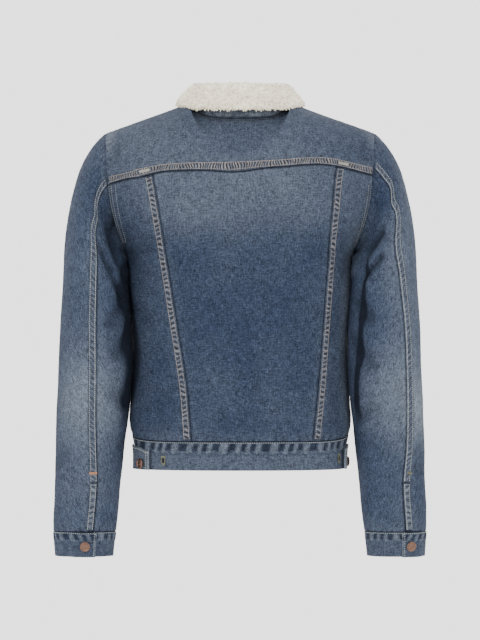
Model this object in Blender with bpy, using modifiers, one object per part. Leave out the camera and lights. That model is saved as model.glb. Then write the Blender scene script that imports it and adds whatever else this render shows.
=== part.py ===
"""Denim trucker jacket with a fleece collar, filled out as it is worn and open inside.

Metres, +Z up.  The front faces -Y and the wearer's left is +X.  The origin is the middle of the neck
opening, level with the neck ends of the shoulder seams.

Every cloth piece is a thin wall whose outer face lies on one shared form: a torso and two sleeves, each
worked out from a short table of girths.  A piece that lies on another takes the points of the one below,
moved out along its normals.
"""

import math
from bisect import bisect_right
from collections import namedtuple
from functools import lru_cache

import bmesh
import bpy
from mathutils import Vector

# ---------------------------------------------------------------- driving sizes

SEAM_GAP = 0.0003  # between two pieces sewn edge to edge
LAY_GAP = 0.0005  # under a piece that lies on another
SLEEVE_SEAM_GAP = 0.0010  # the sleeves' seams twist near the armhole
ARMHOLE_GAP = 0.0011
CLOTH = 0.0030  # denim with its backing
HEM_Z = -0.550
BAND_TOP_Z = -0.506  # seam between the body and the waistband
BAND_SIDE_RISE = 0.009  # the waistband seam climbs towards the side seams
BAND_RISE_START = 0.60  # from this share of the half width outwards
UNDERARM_Z = -0.225
SHOULDER_START_Z = -0.092  # where the back starts to turn over the shoulder, at the centre
SHOULDER_SIDE_DROP = 0.015  # and how much lower that is at the armholes
SHOULDER_DROP_POWER = 2.2  # how late it starts to fall
CHEST_Z = -0.130  # where the fronts start to turn over the shoulder
NECK_HALF_WIDTH = 0.080
NECK_SIDE_Z = 0.0074
NECK_BACK = (0.066, -0.0150)  # depth and height of the neck seam at the centre back
NECK_FRONT = (-0.082, -0.070)  # and at the centre front
SHOULDER_TIP = (0.205, -0.037)  # half width and height of the shoulder point
RIDGE_Y = -0.004  # the shoulder seams run this far from the middle
NECK_SHARE = 0.4  # part of a panel's half width that the neck takes
YOKE_SHARE = 0.62  # height share at which the back starts to turn over the shoulder, near the yoke seam
CHEST_SHARE = 0.70  # height share of the chest line on the fronts
SHOULDER_HANDLE = 0.42  # how long the curve over the shoulder keeps its end directions
NECK_RISE = {"back": 52, "front": 60}  # degrees by which the cloth climbs as it meets the neck seam
CAP_SHARE = 0.36  # length share of the sleeve cap
CAP_END_Z = -0.262
SLEEVE_END_Z = -0.646
CUFF_END_Z = -0.685
FRONT_BAND_WIDTH = 0.038
FELL_WIDTH = 0.0102  # felled seams
FELL_HEIGHT = 0.0013
YOKE_SEAM_LENGTH = 0.420
BACK_SEAM_LENGTH = 0.400
SLEEVE_SEAM_LENGTH = 0.440
BACK_SEAM_START = 0.006  # share of the height at which the long seams of the back start
BACK_SEAM_DROP = 1.3  # and how many seam widths below the yoke's seam line they end
SLEEVE_SEAM_START = 0.028  # share of the length at which a sleeve's seam starts
YOKE_SEAM_END = 0.985  # share of the half width at which the yoke's seam meets the armhole
BESIDE_YOKE_SEAM = 0.01  # how far beside that seam, as a height share, the cloth's slope is taken
PUCKER_HEIGHT = 0.0007
PUCKER_LENGTH = 0.0160
BAND_PUCKER_HEIGHT = 0.0006
BUTTON_RADIUS = 0.0078
BUTTON_HEIGHT = 0.0052
FLEECE = 0.0070
UNDER_COLLAR = 0.0020
COLLAR_ROLL = 0.0040  # radius of the fold between the stand and the fall

# Girths of the body: half width at the side seams, then depth at the back and at the front.
Ring = namedtuple("Ring", "z half_width back front")
TORSO_RINGS = (
    Ring(-0.556, 0.1595, 0.1030, 0.1100),
    Ring(-0.510, 0.1620, 0.1050, 0.1120),
    Ring(-0.486, 0.1685, 0.1090, 0.1150),
    Ring(-0.440, 0.1675, 0.1075, 0.1170),
    Ring(-0.360, 0.1655, 0.1090, 0.1240),
    Ring(-0.280, 0.1715, 0.1150, 0.1310),
    Ring(-0.225, 0.1735, 0.1185, 0.1325),
    Ring(-0.150, 0.1720, 0.1175, 0.1260),
    Ring(-0.085, 0.1720, 0.1100, 0.1080),
)
TORSO_SQUARENESS = 2.25
SEARCH_STEPS = 26  # halvings when a place on a surface is looked up
SLOPE_STEP = 0.002  # how far apart two places are when a direction on a surface is taken

# Where the body panels end at the armhole, above the underarm.
Armhole = namedtuple("Armhole", "z back_x back_y front_x front_y")
ARMHOLE_ROWS = (
    Armhole(-0.225, 0.1735, 0.000, 0.1735, 0.000),
    Armhole(-0.218, 0.1750, 0.019, 0.1740, 0.021),
    Armhole(-0.205, 0.1785, 0.034, 0.1750, 0.039),
    Armhole(-0.185, 0.1865, 0.049, 0.1785, 0.055),
    Armhole(-0.150, 0.1960, 0.061, 0.1850, 0.068),
    Armhole(-0.110, 0.2010, 0.063, 0.1890, 0.069),
    Armhole(-0.085, 0.2035, 0.060, 0.1920, 0.065),
)

# The long seams of the back, as distances from the middle on each side.
BackSeam = namedtuple("BackSeam", "share left right")
BACK_SEAMS = (
    BackSeam(0.00, 0.0790, 0.1155),
    BackSeam(0.12, 0.0855, 0.1235),
    BackSeam(0.25, 0.0985, 0.1300),
    BackSeam(0.44, 0.1185, 0.1395),
    BackSeam(YOKE_SHARE, 0.1390, 0.1520),
)

# Height of the yoke seam from the wearer's right armhole to the left one.
YokeSeam = namedtuple("YokeSeam", "x z")
YOKE_SEAM = (
    YokeSeam(-0.205, -0.0995),
    YokeSeam(-0.181, -0.0938),
    YokeSeam(-0.154, -0.0877),
    YokeSeam(-0.128, -0.0838),
    YokeSeam(-0.103, -0.0838),
    YokeSeam(-0.066, -0.0869),
    YokeSeam(0.010, -0.0907),
    YokeSeam(0.086, -0.0923),
    YokeSeam(0.112, -0.0936),
    YokeSeam(0.142, -0.0985),
    YokeSeam(0.175, -0.1056),
    YokeSeam(0.205, -0.1135),
)

# Sleeve rings below the cap: inner and outer edge seen from behind, then the middle and half depth.
SleeveRing = namedtuple("SleeveRing", "z inner outer middle_y half_depth")
SLEEVE_RINGS = (
    SleeveRing(-0.690, 0.1950, 0.2840, -0.0220, 0.0370),
    SleeveRing(-0.648, 0.1905, 0.2860, -0.0160, 0.0395),
    SleeveRing(-0.620, 0.1870, 0.2860, -0.0115, 0.0420),
    SleeveRing(-0.570, 0.1820, 0.2835, -0.0020, 0.0450),
    SleeveRing(-0.520, 0.1765, 0.2820, 0.0090, 0.0485),
    SleeveRing(-0.470, 0.1700, 0.2800, 0.0220, 0.0520),
    SleeveRing(-0.400, 0.1634, 0.2765, 0.0340, 0.0560),
    SleeveRing(-0.330, 0.1648, 0.2735, 0.0360, 0.0600),
    SleeveRing(-0.262, 0.1698, 0.2700, 0.0340, 0.0620),
)

# How the sleeve leaves the armhole: angle 0 is the shoulder tip, 90 the back, 180 the underarm.
Cap = namedtuple("Cap", "angle out_x out_y out_z reach drop")
CAP_ROWS = (
    Cap(0, 0.78, 0.00, -0.62, 0.060, 0.110),
    Cap(50, 0.80, 0.22, -0.56, 0.048, 0.085),
    Cap(90, 0.78, 0.42, -0.46, 0.034, 0.060),
    Cap(135, 0.86, 0.26, -0.42, 0.020, 0.034),
    Cap(180, 0.75, 0.10, -0.65, 0.008, 0.018),
    Cap(225, 0.86, -0.26, -0.42, 0.020, 0.034),
    Cap(270, 0.80, -0.36, -0.46, 0.034, 0.060),
    Cap(310, 0.82, -0.20, -0.55, 0.046, 0.085),
)

# Angle of the back sleeve seam along each sleeve.
SleeveSeam = namedtuple("SleeveSeam", "share left right")
SLEEVE_SEAMS = (
    SleeveSeam(0.000, 80.0, 62.0),
    SleeveSeam(0.060, 83.0, 62.5),
    SleeveSeam(0.110, 86.0, 64.0),
    SleeveSeam(0.165, 88.5, 65.5),
    SleeveSeam(0.200, 89.5, 66.0),
    SleeveSeam(0.260, 89.5, 65.0),
    SleeveSeam(0.360, 88.0, 59.0),
    SleeveSeam(0.470, 86.0, 52.0),
    SleeveSeam(0.590, 87.0, 50.5),
    SleeveSeam(0.710, 91.0, 54.0),
    SleeveSeam(0.790, 96.0, 58.0),
    SleeveSeam(0.880, 101.0, 66.0),
    SleeveSeam(1.000, 100.0, 65.0),
)
UNDER_SEAM_ANGLE = 225.0
VENT_SHARE = 0.876  # the vent opens from here to the cuff
VENT_MARGIN = 0.006  # and stays this share clear of the seam above and of the cuff
VENT_WIDTH = 0.0100
VENT_LENGTH = 0.070
VENT_HEIGHT = 0.0020
CUFF_LAP_ANGLE = 28.0
CUFF_END_ANGLES = {"left": 114.0, "right": 80.0}
CUFF_BUTTON_ANGLES = {"left": 93.0, "right": 65.0}
CUFF_BUTTON_Z = -0.667

FOLD_RUN_OUT = 0.15  # share of a fold's length by which it fades past its ends
FOLD_RAMP = 0.35

# Soft folds pressed into the body: from one point to another seen from behind or in front.
Fold = namedtuple("Fold", "face start_x start_z end_x end_z depth width")
TORSO_FOLDS = (
    Fold("back", 0.190, -0.052, 0.188, -0.088, 0.0030, 0.012),
    Fold("back", -0.189, -0.050, -0.187, -0.086, 0.0028, 0.012),
    Fold("back", 0.168, -0.226, 0.138, -0.262, 0.0025, 0.013),
    Fold("back", -0.170, -0.224, -0.158, -0.262, 0.0022, 0.010),
    Fold("back", 0.160, -0.300, 0.136, -0.330, 0.0020, 0.014),
    Fold("back", 0.124, -0.425, 0.116, -0.492, 0.0022, 0.012),
    Fold("back", -0.146, -0.430, -0.141, -0.492, 0.0020, 0.012),
    Fold("front", 0.165, -0.222, 0.108, -0.256, 0.0028, 0.012),
    Fold("front", -0.166, -0.220, -0.112, -0.262, 0.0030, 0.012),
    Fold("front", 0.120, -0.420, 0.110, -0.498, 0.0024, 0.013),
    Fold("front", -0.114, -0.430, -0.108, -0.498, 0.0022, 0.013),
)

# Soft folds pressed into the sleeves: angle and height at each end.
SleeveFold = namedtuple("SleeveFold", "hand start_angle start_z end_angle end_z depth width")
SLEEVE_FOLDS = (
    SleeveFold("left", 155, -0.285, 112, -0.335, 0.0045, 0.013),
    SleeveFold("left", 165, -0.330, 118, -0.385, 0.0040, 0.013),
    SleeveFold("left", 155, -0.455, 116, -0.430, 0.0030, 0.013),
    SleeveFold("left", 60, -0.520, 10, -0.545, 0.0025, 0.014),
    SleeveFold("left", 215, -0.330, 275, -0.372, 0.0045, 0.014),
    SleeveFold("left", 220, -0.420, 290, -0.440, 0.0040, 0.014),
    SleeveFold("right", 152, -0.290, 108, -0.330, 0.0045, 0.013),
    SleeveFold("right", 160, -0.345, 104, -0.400, 0.0045, 0.013),
    SleeveFold("right", 150, -0.475, 102, -0.450, 0.0030, 0.013),
    SleeveFold("right", 50, -0.560, 5, -0.540, 0.0025, 0.014),
    SleeveFold("right", 212, -0.318, 272, -0.356, 0.0045, 0.014),
    SleeveFold("right", 222, -0.410, 288, -0.446, 0.0040, 0.014),
)
EASE_SHARE = 0.15  # length share over which a sleeve's wall turns from the body's wall to its own
DEGREE_WIDTH = 0.00090  # how wide a degree of a sleeve's girth is

# The collar from the centre back to its front end: its fold line, the edge of its fall and how far the
# fall arches between them.  Past the shoulder seam the edge lies on the front, and the depth or height
# that is left open follows from the front.
Collar = namedtuple("Collar", "station fold_x fold_y fold_z edge_x edge_y edge_z arch")
COLLAR_ROWS = (
    Collar(0.00, 0.0000, 0.0500, 0.0290, 0.0000, 0.0830, -0.0070, 0.000),
    Collar(0.18, 0.0300, 0.0455, 0.0290, 0.0380, 0.0745, -0.0065, 0.000),
    Collar(0.36, 0.0565, 0.0262, 0.0290, 0.0700, 0.0480, -0.0035, 0.000),
    Collar(0.50, 0.0680, -0.0020, 0.0285, 0.0920, 0.0040, 0.0045, 0.000),
    Collar(0.62, 0.0670, -0.0320, 0.0190, 0.0870, -0.0330, None, 0.004),
    Collar(0.75, 0.0560, -0.0620, -0.0050, 0.0810, -0.0700, None, 0.011),
    Collar(0.88, 0.0340, -0.0850, -0.0330, 0.0700, None, -0.0750, 0.014),
    Collar(1.00, 0.0100, -0.0960, -0.0540, 0.0500, None, -0.1180, 0.010),
)
NECK_MIDDLE_Y = -0.008
COLLAR_FOOT_GAP = 0.0008
COLLAR_LAY_GAP = 0.0011  # between the denim and the fleece, which turn round a tight roll
COLLAR_REST = 0.0045  # the fall lies this far above the fronts
COLLAR_END = 0.985  # the collar's front ends stop just short of the centre front
COLLAR_LAST_COLUMN = 0.05  # no column lies nearer to those ends, as a share of the neck's half width

FRONT_BUTTON_ZS = (-0.104, -0.180, -0.256, -0.332, -0.408, -0.484)
BAND_BUTTON_Z = -0.532
# Waist tabs: how far from the middle the free end lies, then where the sewn end and the button lie
# round the waistband, counted from the middle of the back with the side seam at 1.
Tab = namedtuple("Tab", "end_x start button")
TABS = {"left": Tab(0.137, 0.995, 0.791), "right": Tab(0.158, 1.170, 1.100)}
TAB_COLUMNS = 8
TAB_BUTTON_Z = -0.541
TAB_CORNER = 0.10  # the tab's free corner is cut off by this share of the band's height
TAB_CORNER_RUN = 0.35  # along this share of the tab
TAB_TOP_DROP = 0.012  # how far below the waistband seam a tab's top edge runs

# Colour, roughness and metallic value of each finish.
Finish = namedtuple("Finish", "colour roughness metallic")
DENIM = Finish((0.075, 0.125, 0.205), 0.85, 0.0)
DENIM_FADED = Finish((0.125, 0.170, 0.230), 0.85, 0.0)
DENIM_DARK = Finish((0.045, 0.085, 0.150), 0.85, 0.0)
FLEECE_CREAM = Finish((0.780, 0.740, 0.660), 0.95, 0.0)
BRONZE = Finish((0.240, 0.130, 0.080), 0.40, 1.0)


# ---------------------------------------------------------------- small helpers


def mix(start, end, share):
    """The value or point that lies this share of the way from start to end."""
    return start + (end - start) * share


def read_table(table, key, column):
    """Value of a table's column at a key, on a smooth curve through the rows."""
    keys = [row[0] for row in table]
    values = [getattr(row, column) for row in table]
    key = min(max(key, keys[0]), keys[-1])
    i = min(max(bisect_right(keys, key) - 1, 0), len(keys) - 2)
    steps = [keys[n + 1] - keys[n] for n in range(len(keys) - 1)]
    rates = [(values[n + 1] - values[n]) / steps[n] for n in range(len(steps))]

    def slope(n):
        if n == 0:
            return rates[0]
        if n == len(rates):
            return rates[-1]
        return (rates[n - 1] * steps[n] + rates[n] * steps[n - 1]) / (steps[n - 1] + steps[n])

    w = (key - keys[i]) / steps[i]
    rise = steps[i]
    return (
        values[i] * (2 * w**3 - 3 * w**2 + 1)
        + slope(i) * rise * (w**3 - 2 * w**2 + w)
        + values[i + 1] * (3 * w**2 - 2 * w**3)
        + slope(i + 1) * rise * (w**3 - w**2)
    )


def smooth_step(value):
    """0 below 0, 1 above 1, and a smooth ramp between."""
    value = min(max(value, 0.0), 1.0)
    return value * value * (3 - 2 * value)


def bezier(p0, p1, p2, p3, w):
    """Point on a cubic Bezier curve."""
    return p0 * (1 - w) ** 3 + p1 * 3 * w * (1 - w) ** 2 + p2 * 3 * w * w * (1 - w) + p3 * w**3


def even(count, start=0.0, end=1.0):
    """Evenly spaced stations from start to end."""
    return [mix(start, end, n / count) for n in range(count + 1)]


def press(across, along, fold_ends, depth, width):
    """Depth of one soft trough at a place on the cloth, none past its two ends."""
    x0, y0, x1, y1 = fold_ends
    dx, dy = x1 - x0, y1 - y0
    length = math.hypot(dx, dy)
    share = ((across - x0) * dx + (along - y0) * dy) / length**2
    away = abs((across - x0) * dy - (along - y0) * dx) / length
    start = smooth_step((share + FOLD_RUN_OUT) / FOLD_RAMP)
    end = smooth_step((1 + FOLD_RUN_OUT - share) / FOLD_RAMP)
    return depth * start * end * math.exp(-((away / width) ** 2))


# ---------------------------------------------------------------- the body's form


def edge_of_panel(face, z):
    """Half width and depth at which a body panel ends, at a height."""
    if z <= UNDERARM_Z:
        return read_table(TORSO_RINGS, z, "half_width"), 0.0
    if face == "back":
        return read_table(ARMHOLE_ROWS, z, "back_x"), read_table(ARMHOLE_ROWS, z, "back_y")
    return read_table(ARMHOLE_ROWS, z, "front_x"), read_table(ARMHOLE_ROWS, z, "front_y")


@lru_cache(maxsize=None)
def row_shape(face, z):
    """Depth, full half width and end angle of the body's outline at a height."""
    depth = read_table(TORSO_RINGS, z, face)
    edge_x, edge_y = edge_of_panel(face, z)
    power = TORSO_SQUARENESS
    width = edge_x / (1 - (edge_y / depth) ** power) ** (1 / power)
    return depth, width, math.atan2(edge_x, edge_y)


def torso(face, t, z):
    """Point on the body's form: t runs from -1 at the right side to 1 at the left."""
    depth, width, end_angle = row_shape(face, round(z, 7))
    angle = t * end_angle
    power = TORSO_SQUARENESS
    reach = (abs(math.sin(angle) / width) ** power + abs(math.cos(angle) / depth) ** power) ** (-1 / power)
    outward = 1 if face == "back" else -1
    return Vector((reach * math.sin(angle), outward * reach * math.cos(angle), z))


def band_top(t):
    """Height of the waistband seam."""
    return BAND_TOP_Z + BAND_SIDE_RISE * (max(abs(t) - BAND_RISE_START, 0) / (1 - BAND_RISE_START)) ** 2


def neck_or_shoulder(face, t):
    """Top edge of a body panel: the neck seam, then the shoulder seam."""
    side = 1 if t >= 0 else -1
    share = abs(t) / NECK_SHARE
    if share <= 1:
        angle = share * math.pi / 2
        turn = math.sin(angle)
        y_mid, z_mid = NECK_BACK if face == "back" else NECK_FRONT
        y = mix(RIDGE_Y, y_mid, math.cos(angle))
        if face == "back":
            z = mix(z_mid, NECK_SIDE_Z, turn**4)
        else:
            z = mix(NECK_SIDE_Z, z_mid, math.cos(angle) ** 1.3)
        return Vector((side * NECK_HALF_WIDTH * turn, y, z))
    along = (abs(t) - NECK_SHARE) / (1 - NECK_SHARE)
    x = mix(NECK_HALF_WIDTH, SHOULDER_TIP[0], along)
    return Vector((side * x, RIDGE_Y, mix(NECK_SIDE_Z, SHOULDER_TIP[1], along)))


def top_direction(face, t):
    """Direction in which a panel runs as it reaches its top edge."""
    share = min(abs(t) / NECK_SHARE, 1)
    angle = math.radians(NECK_RISE[face] * (1 - share**2))
    forward = -1 if face == "back" else 1
    return Vector((0, forward * math.cos(angle), math.sin(angle)))


def shoulder_loft(face, t, start_z, share):
    """Surface from a level row of the body up and over to the neck and shoulder seams."""
    low = torso(face, t, start_z)
    rise = (low - torso(face, t, start_z - SLOPE_STEP)).normalized()
    high = neck_or_shoulder(face, t)
    handle = SHOULDER_HANDLE * (high - low).length
    return bezier(low, low + rise * handle, high - top_direction(face, t) * handle, high, share)


def shoulder_start_z(t):
    """Height at which the back starts to turn over the shoulder."""
    return SHOULDER_START_Z - SHOULDER_SIDE_DROP * abs(t) ** SHOULDER_DROP_POWER


def back_form(t, v):
    """Back of the body: v runs from 0 at the waistband to 1 at the neck and shoulder seams."""
    if v <= YOKE_SHARE:
        return torso("back", t, mix(band_top(t), shoulder_start_z(t), v / YOKE_SHARE))
    return shoulder_loft("back", t, shoulder_start_z(t), (v - YOKE_SHARE) / (1 - YOKE_SHARE))


@lru_cache(maxsize=None)
def yoke_seam_v(t):
    """Height share at which the yoke seam crosses a place across the back."""
    low, high = 0.5 * YOKE_SHARE, 1.0
    for _ in range(SEARCH_STEPS):
        v = (low + high) / 2
        point = back_form(t, v)
        if point.z < read_table(YOKE_SEAM, point.x, "z"):
            low = v
        else:
            high = v
    return v


def under_yoke(t, share):
    """Height share of a row of the panels that end at the yoke seam."""
    underarm = YOKE_SHARE * BACK_UNDERARM
    if share <= underarm:
        return share
    return mix(underarm, yoke_seam_v(t), (share - underarm) / (YOKE_SHARE - underarm))


def front_form(t, v):
    """Front of the body, in the same shares as the back."""
    if v <= CHEST_SHARE:
        return torso("front", t, mix(band_top(t), CHEST_Z, v / CHEST_SHARE))
    return shoulder_loft("front", t, CHEST_Z, (v - CHEST_SHARE) / (1 - CHEST_SHARE))


def band_form(face, t, v):
    """Waistband: v runs from 0 at the hem to 1 at the waistband seam."""
    return torso(face, t, mix(HEM_Z, band_top(t), v))


def band_round_form(q, v):
    """Waistband counted on past the side seams: from 1 to 2 it runs on round the front."""
    if abs(q) <= 1:
        return band_form("back", q, v)
    return band_form("front", math.copysign(2 - abs(q), q), v)


NECK_COLUMNS = 6  # on each half of the neck, and then on each shoulder
SHOULDER_COLUMNS = 6
YOKE_ROWS = even(7, YOKE_SHARE, 1.0)
BACK_UNDERARM = (UNDERARM_Z - band_top(1)) / (shoulder_start_z(1) - band_top(1))
FRONT_UNDERARM = (UNDERARM_Z - band_top(1)) / (CHEST_Z - band_top(1))
BELOW_UNDERARM = (0, 0.13, 0.26, 0.40, 0.55, 0.71, 0.87, 1.0)  # shares of the way up to the underarm
ABOVE_UNDERARM = (0.06, 0.15, 0.30, 0.52, 0.76, 1.0)  # and of the way on from it


def panel_rows(underarm, top):
    """Height shares of a body panel's rows, one of them at the underarm."""
    below = [top * underarm * row for row in BELOW_UNDERARM]
    return below + [top * mix(underarm, 1, row) for row in ABOVE_UNDERARM]


BODY_ROWS = panel_rows(BACK_UNDERARM, YOKE_SHARE)
FRONT_ROWS = panel_rows(FRONT_UNDERARM, CHEST_SHARE) + even(6, CHEST_SHARE, 1.0)[1:]

# ---------------------------------------------------------------- surfaces with folds and normals


class Surface:
    """A form with its outward side, and the folds pressed into it."""

    seam_gap = SEAM_GAP

    def __init__(self, form, outward, folds=None):
        self.form = form
        self.outward = outward
        self.folds = folds

    def slopes(self, u, v):
        """How the plain form runs with u and with v, as vectors per unit."""
        step = SLOPE_STEP
        along_u = (self.form(u + step, v) - self.form(u - step, v)) / (2 * step)
        along_v = (self.form(u, v + step) - self.form(u, v - step)) / (2 * step)
        return along_u, along_v

    def normal(self, u, v):
        """Outward normal of the plain form."""
        along_u, along_v = self.slopes(u, v)
        return along_u.cross(along_v).normalized() * self.outward

    def at(self, u, v, lift=0.0):
        """Point lifted off the folded cloth along its normal."""
        point = self.form(u, v)
        normal = self.normal(u, v)
        if self.folds:
            lift -= self.folds(u, point)
        return point + normal * lift


def torso_folds(face):
    """Depth of the body's folds at a point of a face."""
    rows = [row for row in TORSO_FOLDS if row.face == face]

    def depth(_, point):
        return sum(press(point.x, point.z, row[1:5], row.depth, row.width) for row in rows)

    return depth


BACK = Surface(back_form, -1, torso_folds("back"))
FRONT = Surface(front_form, 1, torso_folds("front"))
BAND_ROUND = Surface(band_round_form, -1)
BAND_BACK = Surface(lambda t, v: band_form("back", t, v), -1)
BAND_FRONT = Surface(lambda t, v: band_form("front", t, v), 1)


@lru_cache(maxsize=None)
def t_at(face, x, v):
    """Where across a body panel a point lies this far from the middle, at a height share."""
    form = {"back": back_form, "front": front_form}.get(face)
    low, high = -1.0, 1.0
    for _ in range(SEARCH_STEPS):
        middle = (low + high) / 2
        here = form(middle, v) if form else band_form(face.replace("band_", ""), middle, v)
        if here.x < x:
            low = middle
        else:
            high = middle
    return (low + high) / 2


# ---------------------------------------------------------------- the sleeves' form


@lru_cache(maxsize=None)
def armhole_half(face):
    """Points of the armhole edge from the shoulder tip to the underarm, with normals."""
    surface = BACK if face == "back" else FRONT
    rows = BODY_ROWS[:-1] + YOKE_ROWS if face == "back" else FRONT_ROWS
    stations = rows[: len(BELOW_UNDERARM) - 2 : -1]
    points = [surface.form(1, v) for v in stations]
    normals = [surface.normal(1, v) for v in stations]
    lengths = [0.0]
    for n in range(1, len(points)):
        lengths.append(lengths[-1] + (points[n] - points[n - 1]).length)
    return points, normals, lengths


def armhole(angle):
    """Point, outward normal and way off the panel at an angle round the left armhole."""
    angle = angle % 360
    face = "back" if angle <= 180 else "front"
    share = angle / 180 if angle <= 180 else (360 - angle) / 180
    points, normals, lengths = armhole_half(face)
    run = share * lengths[-1]
    i = min(max(bisect_right(lengths, run) - 1, 0), len(points) - 2)
    w = (run - lengths[i]) / (lengths[i + 1] - lengths[i])
    point = mix(points[i], points[i + 1], w)
    normal = mix(normals[i], normals[i + 1], w).normalized()
    way = (points[i + 1] - points[i]).normalized()
    if face == "front":
        way = -way
    return point, normal, way.cross(normal).normalized()


def cap_value(angle, column):
    """Cap table read round the full circle."""
    turned = [row._replace(angle=row.angle + turn) for turn in (-360, 0, 360) for row in CAP_ROWS]
    return read_table(turned, angle % 360, column)


def sleeve_ring(angle, z):
    """Point of the sleeve's outline at a height below the cap."""
    inner = read_table(SLEEVE_RINGS, z, "inner")
    outer = read_table(SLEEVE_RINGS, z, "outer")
    turn = math.radians(angle)
    x = (inner + outer) / 2 + (outer - inner) / 2 * math.cos(turn)
    middle = read_table(SLEEVE_RINGS, z, "middle_y")
    return Vector((x, middle + read_table(SLEEVE_RINGS, z, "half_depth") * math.sin(turn), z))


@lru_cache(maxsize=None)
def cap_curve(angle):
    """The four points of the curve from the armhole to the end of the sleeve cap."""
    edge, _, off = armhole(angle)
    start = edge + off * ARMHOLE_GAP
    heading = Vector([cap_value(angle, column) for column in ("out_x", "out_y", "out_z")]).normalized()
    end = sleeve_ring(angle, CAP_END_Z)
    down = (sleeve_ring(angle, CAP_END_Z - SLOPE_STEP) - end).normalized()
    return (
        start,
        start + heading * cap_value(angle, "reach"),
        end - down * cap_value(angle, "drop"),
        end,
    )


def sleeve_form(angle, v):
    """Left sleeve: v runs from 0 at the armhole to 1 at the cuff seam."""
    if v <= CAP_SHARE:
        return bezier(*cap_curve(round(angle, 4)), v / CAP_SHARE)
    return sleeve_ring(angle, mix(CAP_END_Z, SLEEVE_END_Z, (v - CAP_SHARE) / (1 - CAP_SHARE)))


class SleeveSurface(Surface):
    """A sleeve, whose u is an angle in degrees; the right one is the left one mirrored."""

    seam_gap = SLEEVE_SEAM_GAP

    def __init__(self, hand, form=sleeve_form):
        super().__init__(form, -1)
        self.hand = hand
        self.rows = [row for row in SLEEVE_FOLDS if row.hand == hand]

    def slopes(self, u, v):
        step = SLOPE_STEP
        along_u = self.form(u + 0.5, v) - self.form(u - 0.5, v)
        along_v = (self.form(u, v + step) - self.form(u, v - step)) / (2 * step)
        return along_u, along_v

    def normal(self, u, v):
        along_u, along_v = self.slopes(u, v)
        own = along_u.cross(along_v).normalized() * self.outward
        if self.form is sleeve_form and v < EASE_SHARE:
            return mix(armhole(u)[1], own, smooth_step(v / EASE_SHARE)).normalized()
        return own

    def at(self, u, v, lift=0.0):
        point = self.form(u, v)
        across = (u % 360) * DEGREE_WIDTH
        for row in self.rows:
            ends = (row.start_angle * DEGREE_WIDTH, row.start_z, row.end_angle * DEGREE_WIDTH, row.end_z)
            lift -= press(across, point.z, ends, row.depth, row.width)
        place = point + self.normal(u, v) * lift
        if self.hand == "right":
            place.x = -place.x
        return place

    def degrees(self, u, v, distance):
        """Angle that spans a distance round the sleeve."""
        return distance / self.slopes(u, v)[0].length


def cuff_form(angle, v):
    """Cuff: v runs from 0 at the sleeve to 1 at its lower edge."""
    return sleeve_ring(angle, mix(SLEEVE_END_Z, CUFF_END_Z, v))


SLEEVES = {hand: SleeveSurface(hand) for hand in ("left", "right")}
CUFFS = {hand: SleeveSurface(hand, cuff_form) for hand in ("left", "right")}


def sleeve_seam(hand, v):
    """Angle of the back sleeve seam."""
    return read_table(SLEEVE_SEAMS, v, hand)


# ---------------------------------------------------------------- making objects


def start_scene():
    """Empty scene with one collection for the jacket."""
    for old in list(bpy.data.objects):
        bpy.data.objects.remove(old)
    collection = bpy.data.collections.new("denim_jacket")
    bpy.context.scene.collection.children.link(collection)
    return collection


def make_material(name, finish):
    """Principled material with one finish."""
    material = bpy.data.materials.new(name)
    material.use_nodes = True
    shader = material.node_tree.nodes["Principled BSDF"]
    shader.inputs["Base Color"].default_value = (*finish.colour, 1)
    shader.inputs["Roughness"].default_value = finish.roughness
    shader.inputs["Metallic"].default_value = finish.metallic
    return material


def add_object(collection, name, mesh, finish):
    """Object with its own material in the jacket's collection."""
    made = bpy.data.objects.new(name, mesh)
    if not mesh.materials:
        mesh.materials.append(make_material(name + "_finish", finish))
    collection.objects.link(made)
    return made


def add_wall(collection, name, place, columns, rows, finish):
    """Closed wall: a thin grid box whose points go where place(u, v, side) says.

    Side is 0 on the inner face and 1 on the outer one.
    """
    shape = bmesh.new()
    bmesh.ops.create_grid(shape, x_segments=len(columns) - 1, y_segments=len(rows) - 1, size=0.5)
    made = bmesh.ops.extrude_face_region(shape, geom=shape.faces[:], use_keep_orig=True)
    lifted = [item for item in made["geom"] if isinstance(item, bmesh.types.BMVert)]
    bmesh.ops.translate(shape, verts=lifted, vec=(0, 0, 1))
    bmesh.ops.recalc_face_normals(shape, faces=shape.faces)
    for vertex in shape.verts:
        column = round((vertex.co.x + 0.5) * (len(columns) - 1))
        row = round((vertex.co.y + 0.5) * (len(rows) - 1))
        vertex.co = place(columns[column], rows[row], round(vertex.co.z))
    if shape.calc_volume(signed=True) < 0:
        bmesh.ops.reverse_faces(shape, faces=shape.faces)
    mesh = bpy.data.meshes.new(name)
    shape.to_mesh(mesh)
    shape.free()
    mesh.shade_smooth()
    mesh.set_sharp_from_angle(angle=math.radians(50))
    return add_object(collection, name, mesh, finish)


def seam_shift(surface, u, v, ends, sewn):
    """Shift in u and in v that leaves half a seam gap at each sewn end of a panel."""
    along_u, along_v = surface.slopes(u, v)
    kept = ends & sewn
    half = surface.seam_gap / 2
    shift_u = half / along_u.length * (("start" in kept) - ("end" in kept))
    shift_v = half / along_v.length * (("bottom" in kept) - ("top" in kept))
    return shift_u, shift_v


def flat(_a, _b):
    """No rise or relief anywhere."""
    return 0.0


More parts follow.
